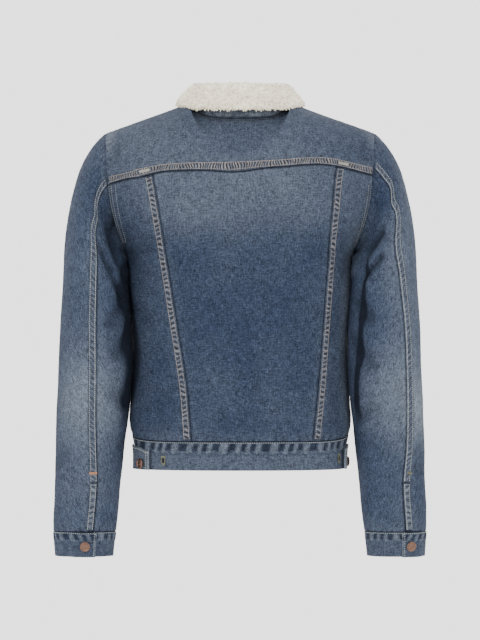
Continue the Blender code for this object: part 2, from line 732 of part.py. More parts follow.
def add_panel(collection, name, surface, patch, columns, rows, finish, sewn, rise=flat, relief=flat):
    """Cloth panel on a surface.

    patch(a, b) gives the surface's u and v for a share across and a share up, rise(a, b) lifts both
    faces and relief(a, b) the outer one alone.  sewn names the edges that meet another piece.
    """

    def place(a, b, side):
        u, v = patch(a, b)
        reached = {"start": a == columns[0], "end": a == columns[-1]}
        reached.update({"bottom": b == rows[0], "top": b == rows[-1]})
        ends = {name for name, here in reached.items() if here}
        shift_u, shift_v = seam_shift(surface, u, v, ends, sewn)
        lift = rise(a, b) + (relief(a, b) if side else -CLOTH)
        return surface.at(u + shift_u, v + shift_v, lift)

    return add_wall(collection, name, place, columns, rows, finish)


def along_rows(rows, v, place):
    """Point between two rows of a panel, where its flat faces run, not on the form between them."""
    i = min(max(bisect_right(rows, v) - 1, 0), len(rows) - 2)
    return mix(place(rows[i]), place(rows[i + 1]), (v - rows[i]) / (rows[i + 1] - rows[i]))


def add_strip(collection, name, place_on_cloth, length, finish, height=FELL_HEIGHT):
    """Puckered strip that lies on the cloth; place_on_cloth(a, b, lift) puts a point of it there."""
    ridges = max(int(round(length / PUCKER_LENGTH)), 2)
    columns = even(2 * ridges)

    def place(a, b, side):
        ridge = round(a * 2 * ridges) % 2
        return place_on_cloth(a, b, LAY_GAP + side * (height + PUCKER_HEIGHT * ridge))

    return add_wall(collection, name, place, columns, [0.0, 1.0], finish)


# ---------------------------------------------------------------- body panels

SIDES = (("left", 1), ("right", -1))
ALL_SEWN = {"start", "end", "bottom", "top"}
UNDERLAP_DROP = CLOTH + LAY_GAP  # the right front runs this far under the front band
UNDERLAP_STOPS = (0.013, -0.004, -0.021, -0.036)  # its end, middle and start, then where it starts to sink


def back_seam_t(v, hand):
    """Where across the back a long seam runs."""
    side = 1 if hand == "left" else -1
    return t_at("back", side * read_table(BACK_SEAMS, v, hand), round(v, 6))


def below_yoke(t, share):
    """Place on the panels under the yoke: how far across, and the height share of a row there."""
    return t, under_yoke(t, share)


def between(hand, seam_t, a):
    """Place across a side panel, always counted towards the wearer's left."""
    return mix(seam_t, 1, a) if hand == "left" else mix(-1, seam_t, a)


def front_stops(hand, v):
    """Columns of a front at a height share, from the wearer's right to left."""
    shoulder = even(SHOULDER_COLUMNS, NECK_SHARE, 1)[1:]
    if hand == "left":
        edge = t_at("front", FRONT_BAND_WIDTH / 2, round(v, 6))
        return even(5, edge, NECK_SHARE) + shoulder
    *under, lap = (t_at("front", x, round(v, 6)) for x in UNDERLAP_STOPS)
    stops = under + even(5, lap, -NECK_SHARE) + [-t for t in shoulder]
    return stops[::-1]


def yoke_columns():
    """Columns of the yoke: finer round the neck than along the shoulders."""
    half = even(NECK_COLUMNS, 0, NECK_SHARE) + even(SHOULDER_COLUMNS, NECK_SHARE, 1)[1:]
    return [-t for t in half[:0:-1]] + half


def add_back(collection):
    """Yoke and the three panels under it."""
    add_panel(
        collection,
        "yoke_back",
        BACK,
        lambda a, b: (a, mix(yoke_seam_v(a), 1, b)),
        yoke_columns(),
        even(7),
        DENIM_FADED,
        {"bottom", "top"},
    )
    add_panel(
        collection,
        "back_centre",
        BACK,
        lambda a, b: below_yoke(mix(back_seam_t(b, "right"), back_seam_t(b, "left"), a), b),
        even(9),
        BODY_ROWS,
        DENIM,
        ALL_SEWN,
    )
    for hand, _ in SIDES:
        add_panel(
            collection,
            "back_side_" + hand,
            BACK,
            lambda a, b, hand=hand: below_yoke(between(hand, back_seam_t(b, hand), a), b),
            even(6),
            BODY_ROWS,
            DENIM,
            ALL_SEWN,
        )


def add_fronts(collection):
    """Fronts, the right one lapped under the front band, and the band."""
    for hand, _ in SIDES:
        count = len(front_stops(hand, 0.5)) - 1

        def patch(a, b, hand=hand, count=count):
            return front_stops(hand, b)[round(a * count)], b

        def rise(a, _b, hand=hand, count=count):
            under_band = hand == "right" and round(a * count) > count - len(UNDERLAP_STOPS) + 1
            return -UNDERLAP_DROP if under_band else 0.0

        sewn = ALL_SEWN if hand == "left" else ALL_SEWN - {"end"}
        add_panel(collection, "front_" + hand, FRONT, patch, even(count), FRONT_ROWS, DENIM, sewn, rise)
    half = FRONT_BAND_WIDTH / 2
    add_panel(
        collection,
        "front_band",
        FRONT,
        lambda a, b: (t_at("front", mix(-half, half, a), round(b, 6)), b),
        even(2),
        FRONT_ROWS,
        DENIM,
        {"end", "bottom"},
    )


# ---------------------------------------------------------------- waistband

BAND_BACK_COLUMNS = 48
BAND_FRONT_COLUMNS = 22
BAND_ROWS = (0.0, 0.30, 0.58, 0.79, 0.97, 1.0)
BAND_PUCKER_ROW = 0.79
TAB_LIFT = CLOTH + LAY_GAP + BAND_PUCKER_HEIGHT


def band_pucker(count):
    """Relief of the ribs that the waistband's stitching draws up."""

    def relief(a, b):
        return BAND_PUCKER_HEIGHT if b == BAND_PUCKER_ROW and round(a * count) % 2 else 0.0

    return relief


def band_front_stops(hand, v, count):
    """Columns of a front waistband at a height share, from the wearer's right to left."""
    if hand == "left":
        return even(count, t_at("band_front", -FRONT_BAND_WIDTH / 2, round(v, 6)), 1)
    *under, lap = (t_at("band_front", x, round(v, 6)) for x in UNDERLAP_STOPS)
    return even(count - len(under), -1, lap) + under[::-1]


def add_waistband(collection):
    """Waistband round the back and fronts."""
    add_panel(
        collection,
        "waistband_back",
        BAND_BACK,
        lambda a, b: (mix(-1, 1, a), b),
        even(BAND_BACK_COLUMNS),
        BAND_ROWS,
        DENIM,
        {"start", "end", "top"},
        relief=band_pucker(BAND_BACK_COLUMNS),
    )
    for hand, _ in SIDES:

        def patch(a, b, hand=hand):
            return band_front_stops(hand, b, BAND_FRONT_COLUMNS)[round(a * BAND_FRONT_COLUMNS)], b

        def under_band(a, hand=hand):
            sunk = BAND_FRONT_COLUMNS - len(UNDERLAP_STOPS) + 1
            return hand == "right" and round(a * BAND_FRONT_COLUMNS) > sunk

        def rise(a, _b, under_band=under_band):
            return -UNDERLAP_DROP if under_band(a) else 0.0

        def relief(a, b, under_band=under_band):
            return 0.0 if under_band(a) else band_pucker(BAND_FRONT_COLUMNS)(a, b)

        sewn = {"end", "top"} if hand == "left" else {"start", "top"}
        add_panel(
            collection,
            "waistband_" + hand,
            BAND_FRONT,
            patch,
            even(BAND_FRONT_COLUMNS),
            BAND_ROWS,
            DENIM,
            sewn,
            rise,
            relief,
        )


def add_tabs(collection):
    """Short tabs that lie on the back waistband from the side seams."""
    for hand, side in SIDES:
        tab = TABS[hand]
        free_end = t_at("band_back", side * tab.end_x, 0.5)

        def patch(a, b, tab=tab, side=side, free_end=free_end):
            share = a if side > 0 else 1 - a
            corner = TAB_CORNER * (1 - smooth_step(share / TAB_CORNER_RUN))
            top = 1 - TAB_TOP_DROP / (BAND_TOP_Z - HEM_Z) - corner
            return mix(free_end, side * tab.start, share), top * b

        add_panel(
            collection,
            "tab_" + hand,
            BAND_ROUND,
            patch,
            even(TAB_COLUMNS),
            even(3),
            DENIM,
            set(),
            lambda _a, _b: TAB_LIFT,
        )


# ---------------------------------------------------------------- sleeves and cuffs

SLEEVE_ROWS = [0, 0.025, 0.05, 0.08, 0.12, 0.18, 0.24, 0.30] + even(10, CAP_SHARE, 1.0)
CUFF_ROWS = (0.0, 0.06, 0.20, 0.36, 1.0)
CUFF_PUCKER_ROW = 0.20
TOP_SLEEVE_COLUMNS = 12
UNDER_SLEEVE_COLUMNS = 7
CUFF_COLUMNS = 26
CUFF_RAMP_ANGLE = 30.0


def cuff_angle(hand, a):
    """Angle along a cuff's strip, from its end underneath to its end on top."""
    end = CUFF_END_ANGLES[hand]
    return mix(end - 360 - CUFF_LAP_ANGLE, end, a)


def cuff_rise(hand, angle):
    """How far the top end of a cuff is lifted by the end underneath."""
    start = CUFF_END_ANGLES[hand] - CUFF_LAP_ANGLE - CUFF_RAMP_ANGLE
    return (CLOTH + LAY_GAP) * smooth_step((angle - start) / CUFF_RAMP_ANGLE)


def add_sleeves(collection):
    """Two-piece sleeves, their vents and their cuffs."""
    for hand, _ in SIDES:
        surface = SLEEVES[hand]
        sewn = {"start", "end", "top"}
        add_panel(
            collection,
            "sleeve_top_" + hand,
            surface,
            lambda a, b, hand=hand: (mix(UNDER_SEAM_ANGLE - 360, sleeve_seam(hand, b), a), b),
            even(TOP_SLEEVE_COLUMNS),
            SLEEVE_ROWS,
            DENIM,
            sewn,
        )
        add_panel(
            collection,
            "sleeve_under_" + hand,
            surface,
            lambda a, b, hand=hand: (mix(sleeve_seam(hand, b), UNDER_SEAM_ANGLE, a), b),
            even(UNDER_SLEEVE_COLUMNS),
            SLEEVE_ROWS,
            DENIM_DARK,
            sewn,
        )
        add_panel(
            collection,
            "cuff_" + hand,
            CUFFS[hand],
            lambda a, b, hand=hand: (cuff_angle(hand, a), b),
            even(CUFF_COLUMNS),
            CUFF_ROWS,
            DENIM,
            {"bottom"},
            lambda a, _b, hand=hand: cuff_rise(hand, cuff_angle(hand, a)),
            lambda a, b: BAND_PUCKER_HEIGHT if b == CUFF_PUCKER_ROW and round(a * CUFF_COLUMNS) % 2 else 0.0,
        )


# ---------------------------------------------------------------- felled seams and vents


def add_seams(collection):
    """Double stitched seams that lie proud of the panels they join."""
    half = FELL_WIDTH / 2

    def on_yoke_seam(a, b, lift):
        t = mix(-YOKE_SEAM_END, YOKE_SEAM_END, a)
        v = yoke_seam_v(t)
        side = 1 if b else -1
        step = half / BACK.slopes(t, v + side * BESIDE_YOKE_SEAM)[1].length
        return BACK.at(t, v + side * step, lift)

    add_strip(collection, "seam_yoke", on_yoke_seam, YOKE_SEAM_LENGTH, DENIM_FADED)
    drop = BACK_SEAM_DROP * FELL_WIDTH / (SHOULDER_START_Z - BAND_TOP_Z)
    end_share = YOKE_SHARE * (1 - drop)
    for hand, _ in SIDES:

        def on_back_seam(a, b, lift, hand=hand):
            def beside(v):
                t, height = below_yoke(back_seam_t(v, hand), v)
                return BACK.at(t + (2 * b - 1) * half / BACK.slopes(t, height)[0].length, height, lift)

            return along_rows(BODY_ROWS, mix(BACK_SEAM_START, end_share, a), beside)

        add_strip(collection, "seam_back_" + hand, on_back_seam, BACK_SEAM_LENGTH, DENIM_FADED)
        surface = SLEEVES[hand]

        def on_sleeve_seam(a, b, lift, hand=hand, surface=surface):
            def beside(v):
                angle = sleeve_seam(hand, v)
                return surface.at(angle + (2 * b - 1) * surface.degrees(angle, v, half), v, lift)

            return along_rows(SLEEVE_ROWS, mix(SLEEVE_SEAM_START, VENT_SHARE - VENT_MARGIN, a), beside)

        add_strip(collection, "seam_sleeve_" + hand, on_sleeve_seam, SLEEVE_SEAM_LENGTH, DENIM_FADED)

        def on_vent(a, b, lift, hand=hand, surface=surface):
            def beside(v):
                angle = sleeve_seam(hand, v)
                return surface.at(angle + (2 * b - 1) * surface.degrees(angle, v, VENT_WIDTH / 2), v, lift)

            return along_rows(SLEEVE_ROWS, mix(VENT_SHARE, 1 - VENT_MARGIN, a), beside)

        add_strip(collection, "vent_" + hand, on_vent, VENT_LENGTH, DENIM, VENT_HEIGHT)


# ---------------------------------------------------------------- collar


def neck_seam(station):
    """Neck seam of the left half, from the centre back at 0 to the centre front at 1."""
    if station <= 0.5:
        return neck_or_shoulder("back", NECK_SHARE * station / 0.5)
    return neck_or_shoulder("front", NECK_SHARE * (1 - (station - 0.5) / 0.5))


def rested(row):
    """Collar row whose edge lies just off the front, where its depth or its height is left open."""
    if row.edge_y is not None and row.edge_z is not None:
        return row
    axis = 1 if row.edge_z is None else 2
    goal = row.edge_y if row.edge_z is None else row.edge_z
    low, high = 0.6, 1.0
    for _ in range(SEARCH_STEPS):
        v = (low + high) / 2
        t = t_at("front", row.edge_x, v)
        if front_form(t, v)[axis] < goal:
            low = v
        else:
            high = v
    edge = FRONT.at(t, v, COLLAR_REST)
    return row._replace(edge_x=edge.x, edge_y=edge.y, edge_z=edge.z)


SET_COLLAR_ROWS = tuple(rested(row) for row in COLLAR_ROWS)


def collar_row(station, part):
    """Point of the collar's fold line or of the edge of its fall."""
    return Vector([read_table(SET_COLLAR_ROWS, station, part + axis) for axis in ("_x", "_y", "_z")])


STAND_SHARE = 0.36  # share of the collar's section that is the stand, and then the end of the roll
ROLL_SHARE = 0.58
FOOT_HANDLE = 0.4  # how long the section's curves keep their end directions
STAND_HANDLE = 0.3
FALL_HANDLE = 0.35


@lru_cache(maxsize=None)
def collar_frame(station):
    """Foot of the stand, fold, edge, the outward and upward ways at the fold, and the way off the fall."""
    foot = neck_seam(station)
    to_middle = Vector((-foot.x, NECK_MIDDLE_Y - foot.y, 0)).normalized()
    foot = foot + (to_middle + Vector((0, 0, 1))) * COLLAR_FOOT_GAP
    fold = collar_row(station, "fold")
    edge = collar_row(station, "edge")
    near = max(station - 0.02, 0.0)
    far = min(near + 0.04, 1.0)
    way = (collar_row(far, "fold") - collar_row(near, "fold")).normalized()
    if station < 0.02:
        way = Vector((1, 0, 0))
    upward = (fold - foot).normalized() + (fold - edge).normalized()
    outward = way.cross(upward).normalized()
    if outward.dot(to_middle) > 0:
        outward = -outward
    upward = way.cross(outward)
    if upward.dot(fold - foot) < 0:
        upward = -upward
    across = way.cross(edge - fold - outward * COLLAR_ROLL).normalized()
    if across.dot(outward + upward) < 0:
        across = -across
    return foot, fold, edge, outward, upward, across


def collar_form(s, v):
    """Collar: s runs from -1 at its right front end to 1, v from the neck seam over the fold to the edge."""
    station = min(abs(s), 1.0)
    foot, fold, edge, outward, upward, across = collar_frame(round(station, 6))
    middle = fold - upward * COLLAR_ROLL
    inner = middle - outward * COLLAR_ROLL
    outer = middle + outward * COLLAR_ROLL
    if v <= STAND_SHARE:
        rise = (inner - foot).length
        reach = upward * STAND_HANDLE * rise
        point = bezier(foot, mix(foot, inner, FOOT_HANDLE), inner - reach, inner, v / STAND_SHARE)
    elif v <= ROLL_SHARE:
        turn = math.pi * (v - STAND_SHARE) / (ROLL_SHARE - STAND_SHARE)
        point = middle + (upward * math.sin(turn) - outward * math.cos(turn)) * COLLAR_ROLL
    else:
        drop = (edge - outer).length
        w = (v - ROLL_SHARE) / (1 - ROLL_SHARE)
        reach = upward * FALL_HANDLE * drop
        point = bezier(outer, outer - reach, mix(edge, outer, FALL_HANDLE), edge, w)
        point += across * (read_table(COLLAR_ROWS, station, "arch") * 4 * w * (1 - w))
    if s < 0:
        point = Vector((-point.x, point.y, point.z))
    return point


def collar_columns():
    """Stations of the collar's columns, the same as the yoke's and the fronts' along the neck seam."""
    back = even(2 * NECK_COLUMNS, -0.5, 0.5)
    first = 2 * (1 - COLLAR_END) + COLLAR_LAST_COLUMN
    halves = {}
    for hand, _ in SIDES:
        shares = [abs(t) / NECK_SHARE for t in front_stops(hand, 1.0)]
        inner = [1 - share / 2 for share in shares if first < share < 1 - 1e-9]
        halves[hand] = sorted(inner) + [COLLAR_END]
    return [-s for s in reversed(halves["right"])] + back + halves["left"]


COLLAR = Surface(collar_form, 1)
COLLAR_COLUMNS = collar_columns()
# The denim layer stops one row short of the fleece.
COLLAR_LAYER_ROWS = (0.0, 0.18, 0.36, 0.43, 0.51, 0.58, 0.68, 0.78, 0.87, 0.94, 1.0)
FLEECE_EDGE_SHARES = {0.0: 0.6, 0.94: 0.92, 1.0: 0.5}  # the pile rounds off at the edges
FLEECE_END_SHARE = 0.6  # and at the collar's front ends


def add_collar(collection):
    """Denim under collar with its stand, and the fleece that covers it."""

    def under(s, v, side):
        return COLLAR.at(s, v, side * UNDER_COLLAR)

    add_wall(collection, "collar_denim", under, COLLAR_COLUMNS, COLLAR_LAYER_ROWS[:-1], DENIM_DARK)

    def pile(s, v, side):
        depth = FLEECE * FLEECE_EDGE_SHARES.get(v, 1.0)
        if abs(s) == COLLAR_END:
            depth *= FLEECE_END_SHARE
        return COLLAR.at(s, v, UNDER_COLLAR + COLLAR_LAY_GAP + side * depth)

    add_wall(collection, "collar_fleece", pile, COLLAR_COLUMNS, COLLAR_LAYER_ROWS, FLEECE_CREAM)


# ---------------------------------------------------------------- buttons

# Outline of a shank button from its top to its foot: distance from its axis and height.
ButtonPoint = namedtuple("ButtonPoint", "radius height")
BUTTON_OUTLINE = (
    ButtonPoint(0.0, 0.90 * BUTTON_HEIGHT),
    ButtonPoint(0.74 * BUTTON_RADIUS, BUTTON_HEIGHT),
    ButtonPoint(BUTTON_RADIUS, 0.80 * BUTTON_HEIGHT),
    ButtonPoint(0.96 * BUTTON_RADIUS, 0.50 * BUTTON_HEIGHT),
    ButtonPoint(0.38 * BUTTON_RADIUS, 0.38 * BUTTON_HEIGHT),
    ButtonPoint(0.38 * BUTTON_RADIUS, 0.0),
    ButtonPoint(0.0, 0.0),
)
BUTTON_SIDES = 12


def button_outline():
    """Mesh of the button's outline, to be turned round Z."""
    mesh = bpy.data.meshes.new("button_outline")
    points = [(point.radius, 0, point.height) for point in BUTTON_OUTLINE]
    mesh.from_pydata(points, [(n, n + 1) for n in range(len(points) - 1)], [])
    return mesh


def add_button(collection, name, outline, place, normal):
    """Shank button that stands on the cloth at a place, its axis along the cloth's normal."""
    button = add_object(collection, name, outline.copy(), BRONZE)
    button.location = place
    button.rotation_mode = "QUATERNION"
    button.rotation_quaternion = normal.to_track_quat("Z", "Y")
    turn = button.modifiers.new("turn", "SCREW")
    turn.axis = "Z"
    turn.steps = BUTTON_SIDES
    turn.render_steps = BUTTON_SIDES
    turn.use_merge_vertices = True
    turn.merge_threshold = 0.00001
    turn.use_smooth_shade = False


def add_buttons(collection):
    """Buttons down the front, on the waistband, the cuffs and the tabs."""
    outline = button_outline()
    for number, z in enumerate(FRONT_BUTTON_ZS, start=1):
        low, high = 0.0, 1.0
        for _ in range(SEARCH_STEPS):
            v = (low + high) / 2
            if front_form(0.0, v).z < z:
                low = v
            else:
                high = v
        place = along_rows(FRONT_ROWS, v, lambda row: FRONT.at(0.0, row, LAY_GAP))
        add_button(collection, f"button_front_{number}", outline, place, FRONT.normal(0.0, v))
    share = (BAND_BUTTON_Z - HEM_Z) / (BAND_TOP_Z - HEM_Z)
    place = BAND_FRONT.at(0.0, share, LAY_GAP)
    add_button(collection, "button_waistband", outline, place, BAND_FRONT.normal(0.0, share))
    for hand, side in SIDES:
        share = (CUFF_BUTTON_Z - SLEEVE_END_Z) / (CUFF_END_Z - SLEEVE_END_Z)
        angle = CUFF_BUTTON_ANGLES[hand]
        lift = cuff_rise(hand, angle) + LAY_GAP
        normal = CUFFS[hand].normal(angle, share)
        normal.x *= side
        add_button(collection, "button_cuff_" + hand, outline, CUFFS[hand].at(angle, share, lift), normal)
        share = (TAB_BUTTON_Z - HEM_Z) / (BAND_TOP_Z - HEM_Z)
        q = side * TABS[hand].button
        place = BAND_ROUND.at(q, share, TAB_LIFT + LAY_GAP)
        add_button(collection, "button_tab_" + hand, outline, place, BAND_ROUND.normal(q, share))
    bpy.data.meshes.remove(outline)


def build():
    """Makes the whole jacket."""
    collection = start_scene()
    add_back(collection)
    add_fronts(collection)
    add_waistband(collection)
    add_tabs(collection)
    add_sleeves(collection)
    add_seams(collection)
    add_collar(collection)
    add_buttons(collection)


build()
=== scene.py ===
"""Denim trucker jacket with a fleece collar: the finished cloth, sewing, pile and buttons.

Metres, +Z up.  The front faces -Y and the wearer's left is +X.  Every cloth piece is a fine sheet on the
form of its solid, each seam is a folded strip with real stitches, and the collar carries curled pile.
"""

import logging
import math
from bisect import bisect_right
from dataclasses import Field, dataclass, field
from enum import Enum
from functools import lru_cache, partial
from typing import Callable, NamedTuple, Sequence, TypeVar

import bmesh
import bpy
import numpy as np
from mathutils import Matrix, Vector


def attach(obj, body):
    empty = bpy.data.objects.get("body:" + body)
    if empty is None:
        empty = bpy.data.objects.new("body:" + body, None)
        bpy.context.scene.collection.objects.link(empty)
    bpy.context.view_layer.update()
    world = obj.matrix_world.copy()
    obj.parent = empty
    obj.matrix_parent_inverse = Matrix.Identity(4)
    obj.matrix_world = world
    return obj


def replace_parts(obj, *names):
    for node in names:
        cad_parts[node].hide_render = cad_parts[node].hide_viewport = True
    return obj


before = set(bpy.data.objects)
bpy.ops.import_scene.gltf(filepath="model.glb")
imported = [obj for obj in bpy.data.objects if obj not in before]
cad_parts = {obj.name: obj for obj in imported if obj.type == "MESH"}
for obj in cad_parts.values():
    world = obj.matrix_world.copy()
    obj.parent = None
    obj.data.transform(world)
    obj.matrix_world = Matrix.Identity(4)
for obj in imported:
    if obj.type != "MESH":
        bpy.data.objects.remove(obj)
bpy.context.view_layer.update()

log = logging.getLogger("jacket")

BODY = "root"
Array = np.ndarray
Mesh = bpy.types.Mesh
Material = bpy.types.Material
Socket = bpy.types.NodeSocket
Row = TypeVar("Row")
Amount = TypeVar("Amount", float, Array)
Value = TypeVar("Value", float, Vector, Array)
Form = Callable[[float, float], Vector]
Folds = Callable[[Array, Array], Array]
Place = Callable[[float, float], tuple[float, float]]
Lines = list[tuple[Vector, Vector]]


class Side(Enum):
    """The wearer's two sides."""

    LEFT = 1
    RIGHT = -1

    @property
    def word(self) -> str:
        """Side's word in a node's name."""
        return self.name.lower()


class Face(Enum):
    """Back or front of the body."""

    BACK = "back"
    FRONT = "front"


# ------------------------------------------------------------------ tables


class Ring(NamedTuple):
    """Girth of the body at a height."""

    z: float
    half_width: float
    back: float
    front: float


class Armhole(NamedTuple):
    """Where the body's panels end above the underarm."""

    z: float
    back_x: float
    back_y: float
    front_x: float
    front_y: float


class BackSeam(NamedTuple):
    """Distances of the long back seams from the middle, at a share of the height."""

    share: float
    left: float
    right: float


class YokeSeam(NamedTuple):
    """Height of the yoke seam at a distance from the middle."""

    x: float
    z: float


class SleeveRing(NamedTuple):
    """Outline of a sleeve at a height: inner and outer edge, middle and half depth."""

    z: float
    inner: float
    outer: float
    middle_y: float
    half_depth: float


class Cap(NamedTuple):
    """How a sleeve leaves the armhole at an angle round it."""

    angle: float
    out_x: float
    out_y: float
    out_z: float
    reach: float
    drop: float


class SleeveSeam(NamedTuple):
    """Angle of each sleeve's back seam at a share of its length."""

    share: float
    left: float
    right: float


class CollarRow(NamedTuple):
    """The collar's fold line, the edge of its fall and the arch between them."""

    station: float
    fold_x: float
    fold_y: float
    fold_z: float
    edge_x: float
    edge_y: float
    edge_z: float
    arch: float


class Fold(NamedTuple):
    """Soft trough between two places, or a bulge where its depth is below nothing.

    Places across are distances from the middle on the body and angles in degrees on a sleeve.
    """

    where: Face | Side
    start: float
    start_z: float
    end: float
    end_z: float
    depth: float
    width: float


class Fade(NamedTuple):
    """Soft patch of wear, or of deeper colour where its strength is below nothing, placed as a fold is."""

    where: Face | Side
    middle: float
    z: float
    half_width: float
    half_height: float
    strength: float


class ShadyEdge(NamedTuple):
    """How far from the middle the painted shade under the wearer's left arm starts, at a height."""

    z: float
    x: float


class ShadySleeve(NamedTuple):
    """Painted shade inside a sleeve: heights with the angle of its middle, and with its half width."""

    middle: tuple[tuple[float, float], ...]
    half: tuple[tuple[float, float], ...]


class EdgeShape(NamedTuple):
    """Rounding of a panel's edge, and how far it turns in."""

    radius: float
    drop: float
    turned_in: float


class Lamp(NamedTuple):
    """Soft light of the studio."""

    name: str
    place: tuple[float, float, float]
    size: float
    power: float


def table_of(kind: Callable[..., Row], *sizes: tuple) -> tuple[Row, ...]:
    """Named rows from a table's plain sizes."""
    return tuple(kind(*row) for row in sizes)

# Height shares at which the back and the front turn over the shoulder, and the neck's share of their width.
YOKE_SHARE = 0.62
CHEST_SHARE = 0.70
NECK_SHARE = 0.4
# Heights of the body, the cap and the sleeve, from the neck's level down.
UNDERARM_Z = -0.225
HEM_Z = -0.550
BAND_TOP_Z = -0.506
SHOULDER_START_Z = -0.092
CHEST_Z = -0.130
CAP_SHARE = 0.36
CAP_END_Z = -0.262
SLEEVE_END_Z = -0.646
CUFF_END_Z = -0.685
CLOTH = 0.0030
SLOPE_STEP = 0.002

TORSO_RINGS = table_of(
    Ring,
    (-0.556, 0.1595, 0.1030, 0.1100),
    (-0.510, 0.1620, 0.1050, 0.1120),
    (-0.486, 0.1685, 0.1090, 0.1150),
    (-0.440, 0.1675, 0.1075, 0.1170),
    (-0.360, 0.1655, 0.1090, 0.1240),
    (-0.280, 0.1715, 0.1150, 0.1310),
    (-0.225, 0.1735, 0.1185, 0.1325),
    (-0.150, 0.1720, 0.1175, 0.1260),
    (-0.085, 0.1720, 0.1100, 0.1080),
)
ARMHOLE_ROWS = table_of(
    Armhole,
    (-0.225, 0.1735, 0.000, 0.1735, 0.000),
    (-0.218, 0.1750, 0.019, 0.1740, 0.021),
    (-0.205, 0.1785, 0.034, 0.1750, 0.039),
    (-0.185, 0.1865, 0.049, 0.1785, 0.055),
    (-0.150, 0.1960, 0.061, 0.1850, 0.068),
    (-0.110, 0.2010, 0.063, 0.1890, 0.069),
    (-0.085, 0.2035, 0.060, 0.1920, 0.065),
)
BACK_SEAMS = table_of(
    BackSeam,
    (0.00, 0.0790, 0.1155),
    (0.12, 0.0855, 0.1235),
    (0.25, 0.0985, 0.1300),
    (0.44, 0.1185, 0.1395),
    (YOKE_SHARE, 0.1390, 0.1520),
)
YOKE_SEAM = table_of(
    YokeSeam,
    (-0.205, -0.0995),
    (-0.181, -0.0938),
    (-0.154, -0.0877),
    (-0.128, -0.0838),
    (-0.103, -0.0838),
    (-0.066, -0.0869),
    (0.010, -0.0907),
    (0.086, -0.0923),
    (0.112, -0.0936),
    (0.142, -0.0985),
    (0.175, -0.1056),
    (0.205, -0.1135),
)
SLEEVE_RINGS = table_of(
    SleeveRing,
    (-0.690, 0.1950, 0.2840, -0.0220, 0.0370),
    (-0.648, 0.1905, 0.2860, -0.0160, 0.0395),
    (-0.620, 0.1870, 0.2860, -0.0115, 0.0420),
    (-0.570, 0.1820, 0.2835, -0.0020, 0.0450),
    (-0.520, 0.1765, 0.2820, 0.0090, 0.0485),
    (-0.470, 0.1700, 0.2800, 0.0220, 0.0520),
    (-0.400, 0.1634, 0.2765, 0.0340, 0.0560),
    (-0.330, 0.1648, 0.2735, 0.0360, 0.0600),
    (-0.262, 0.1698, 0.2700, 0.0340, 0.0620),
)
CAP_ROWS = table_of(
    Cap,
    (0, 0.78, 0.00, -0.62, 0.060, 0.110),
    (50, 0.80, 0.22, -0.56, 0.048, 0.085),
    (90, 0.78, 0.42, -0.46, 0.034, 0.060),
    (135, 0.86, 0.26, -0.42, 0.020, 0.034),
    (180, 0.75, 0.10, -0.65, 0.008, 0.018),
    (225, 0.86, -0.26, -0.42, 0.020, 0.034),
    (270, 0.80, -0.36, -0.46, 0.034, 0.060),
    (310, 0.82, -0.20, -0.55, 0.046, 0.085),
)
SLEEVE_SEAMS = table_of(
    SleeveSeam,
    (0.000, 80.0, 62.0),
    (0.060, 83.0, 62.5),
    (0.110, 86.0, 60.0),
    (0.150, 91.0, 66.0),
    (0.185, 89.0, 61.0),
    (0.215, 88.0, 62.0),
    (0.245, 89.5, 66.0),
    (0.360, 88.0, 59.0),
    (0.470, 86.0, 52.0),
    (0.590, 87.0, 50.5),
    (0.710, 91.0, 54.0),
    (0.790, 96.0, 58.0),
    (0.880, 101.0, 66.0),
    (1.000, 100.0, 65.0),
)
COLLAR_ROWS = table_of(
    CollarRow,
    (0.00, 0.0000, 0.0500, 0.0290, 0.0000, 0.0830, -0.0070, 0.000),
    (0.18, 0.0300, 0.0455, 0.0290, 0.0380, 0.0745, -0.0065, 0.000),
    (0.36, 0.0565, 0.0262, 0.0290, 0.0700, 0.0480, -0.0035, 0.000),
    (0.50, 0.0680, -0.0020, 0.0285, 0.0920, 0.0040, 0.0045, 0.000),
    (0.62, 0.0670, -0.0320, 0.0190, 0.0885, -0.0343, 0.0047, 0.004),
    (0.75, 0.0560, -0.0620, -0.0050, 0.0821, -0.0732, -0.0187, 0.011),
    (0.88, 0.0340, -0.0850, -0.0330, 0.0706, -0.1057, -0.0735, 0.014),
    (1.00, 0.0100, -0.0960, -0.0540, 0.0503, -0.1205, -0.1168, 0.010),
)
BODY_FOLDS = table_of(
    Fold,
    (Face.BACK, 0.190, -0.052, 0.188, -0.088, 0.0030, 0.012),
    (Face.BACK, -0.189, -0.050, -0.187, -0.086, 0.0028, 0.012),
    (Face.BACK, 0.168, -0.226, 0.138, -0.262, 0.0025, 0.013),
    (Face.BACK, -0.170, -0.224, -0.158, -0.262, 0.0022, 0.010),
    (Face.BACK, 0.160, -0.300, 0.136, -0.330, 0.0020, 0.014),
    (Face.BACK, 0.124, -0.425, 0.116, -0.492, 0.0022, 0.012),
    (Face.BACK, -0.146, -0.430, -0.141, -0.492, 0.0020, 0.012),
    (Face.FRONT, 0.165, -0.222, 0.108, -0.256, 0.0028, 0.012),
    (Face.FRONT, -0.166, -0.220, -0.112, -0.262, 0.0030, 0.012),
    (Face.FRONT, 0.120, -0.420, 0.110, -0.498, 0.0024, 0.013),
    (Face.FRONT, -0.114, -0.430, -0.108, -0.498, 0.0022, 0.013),
)
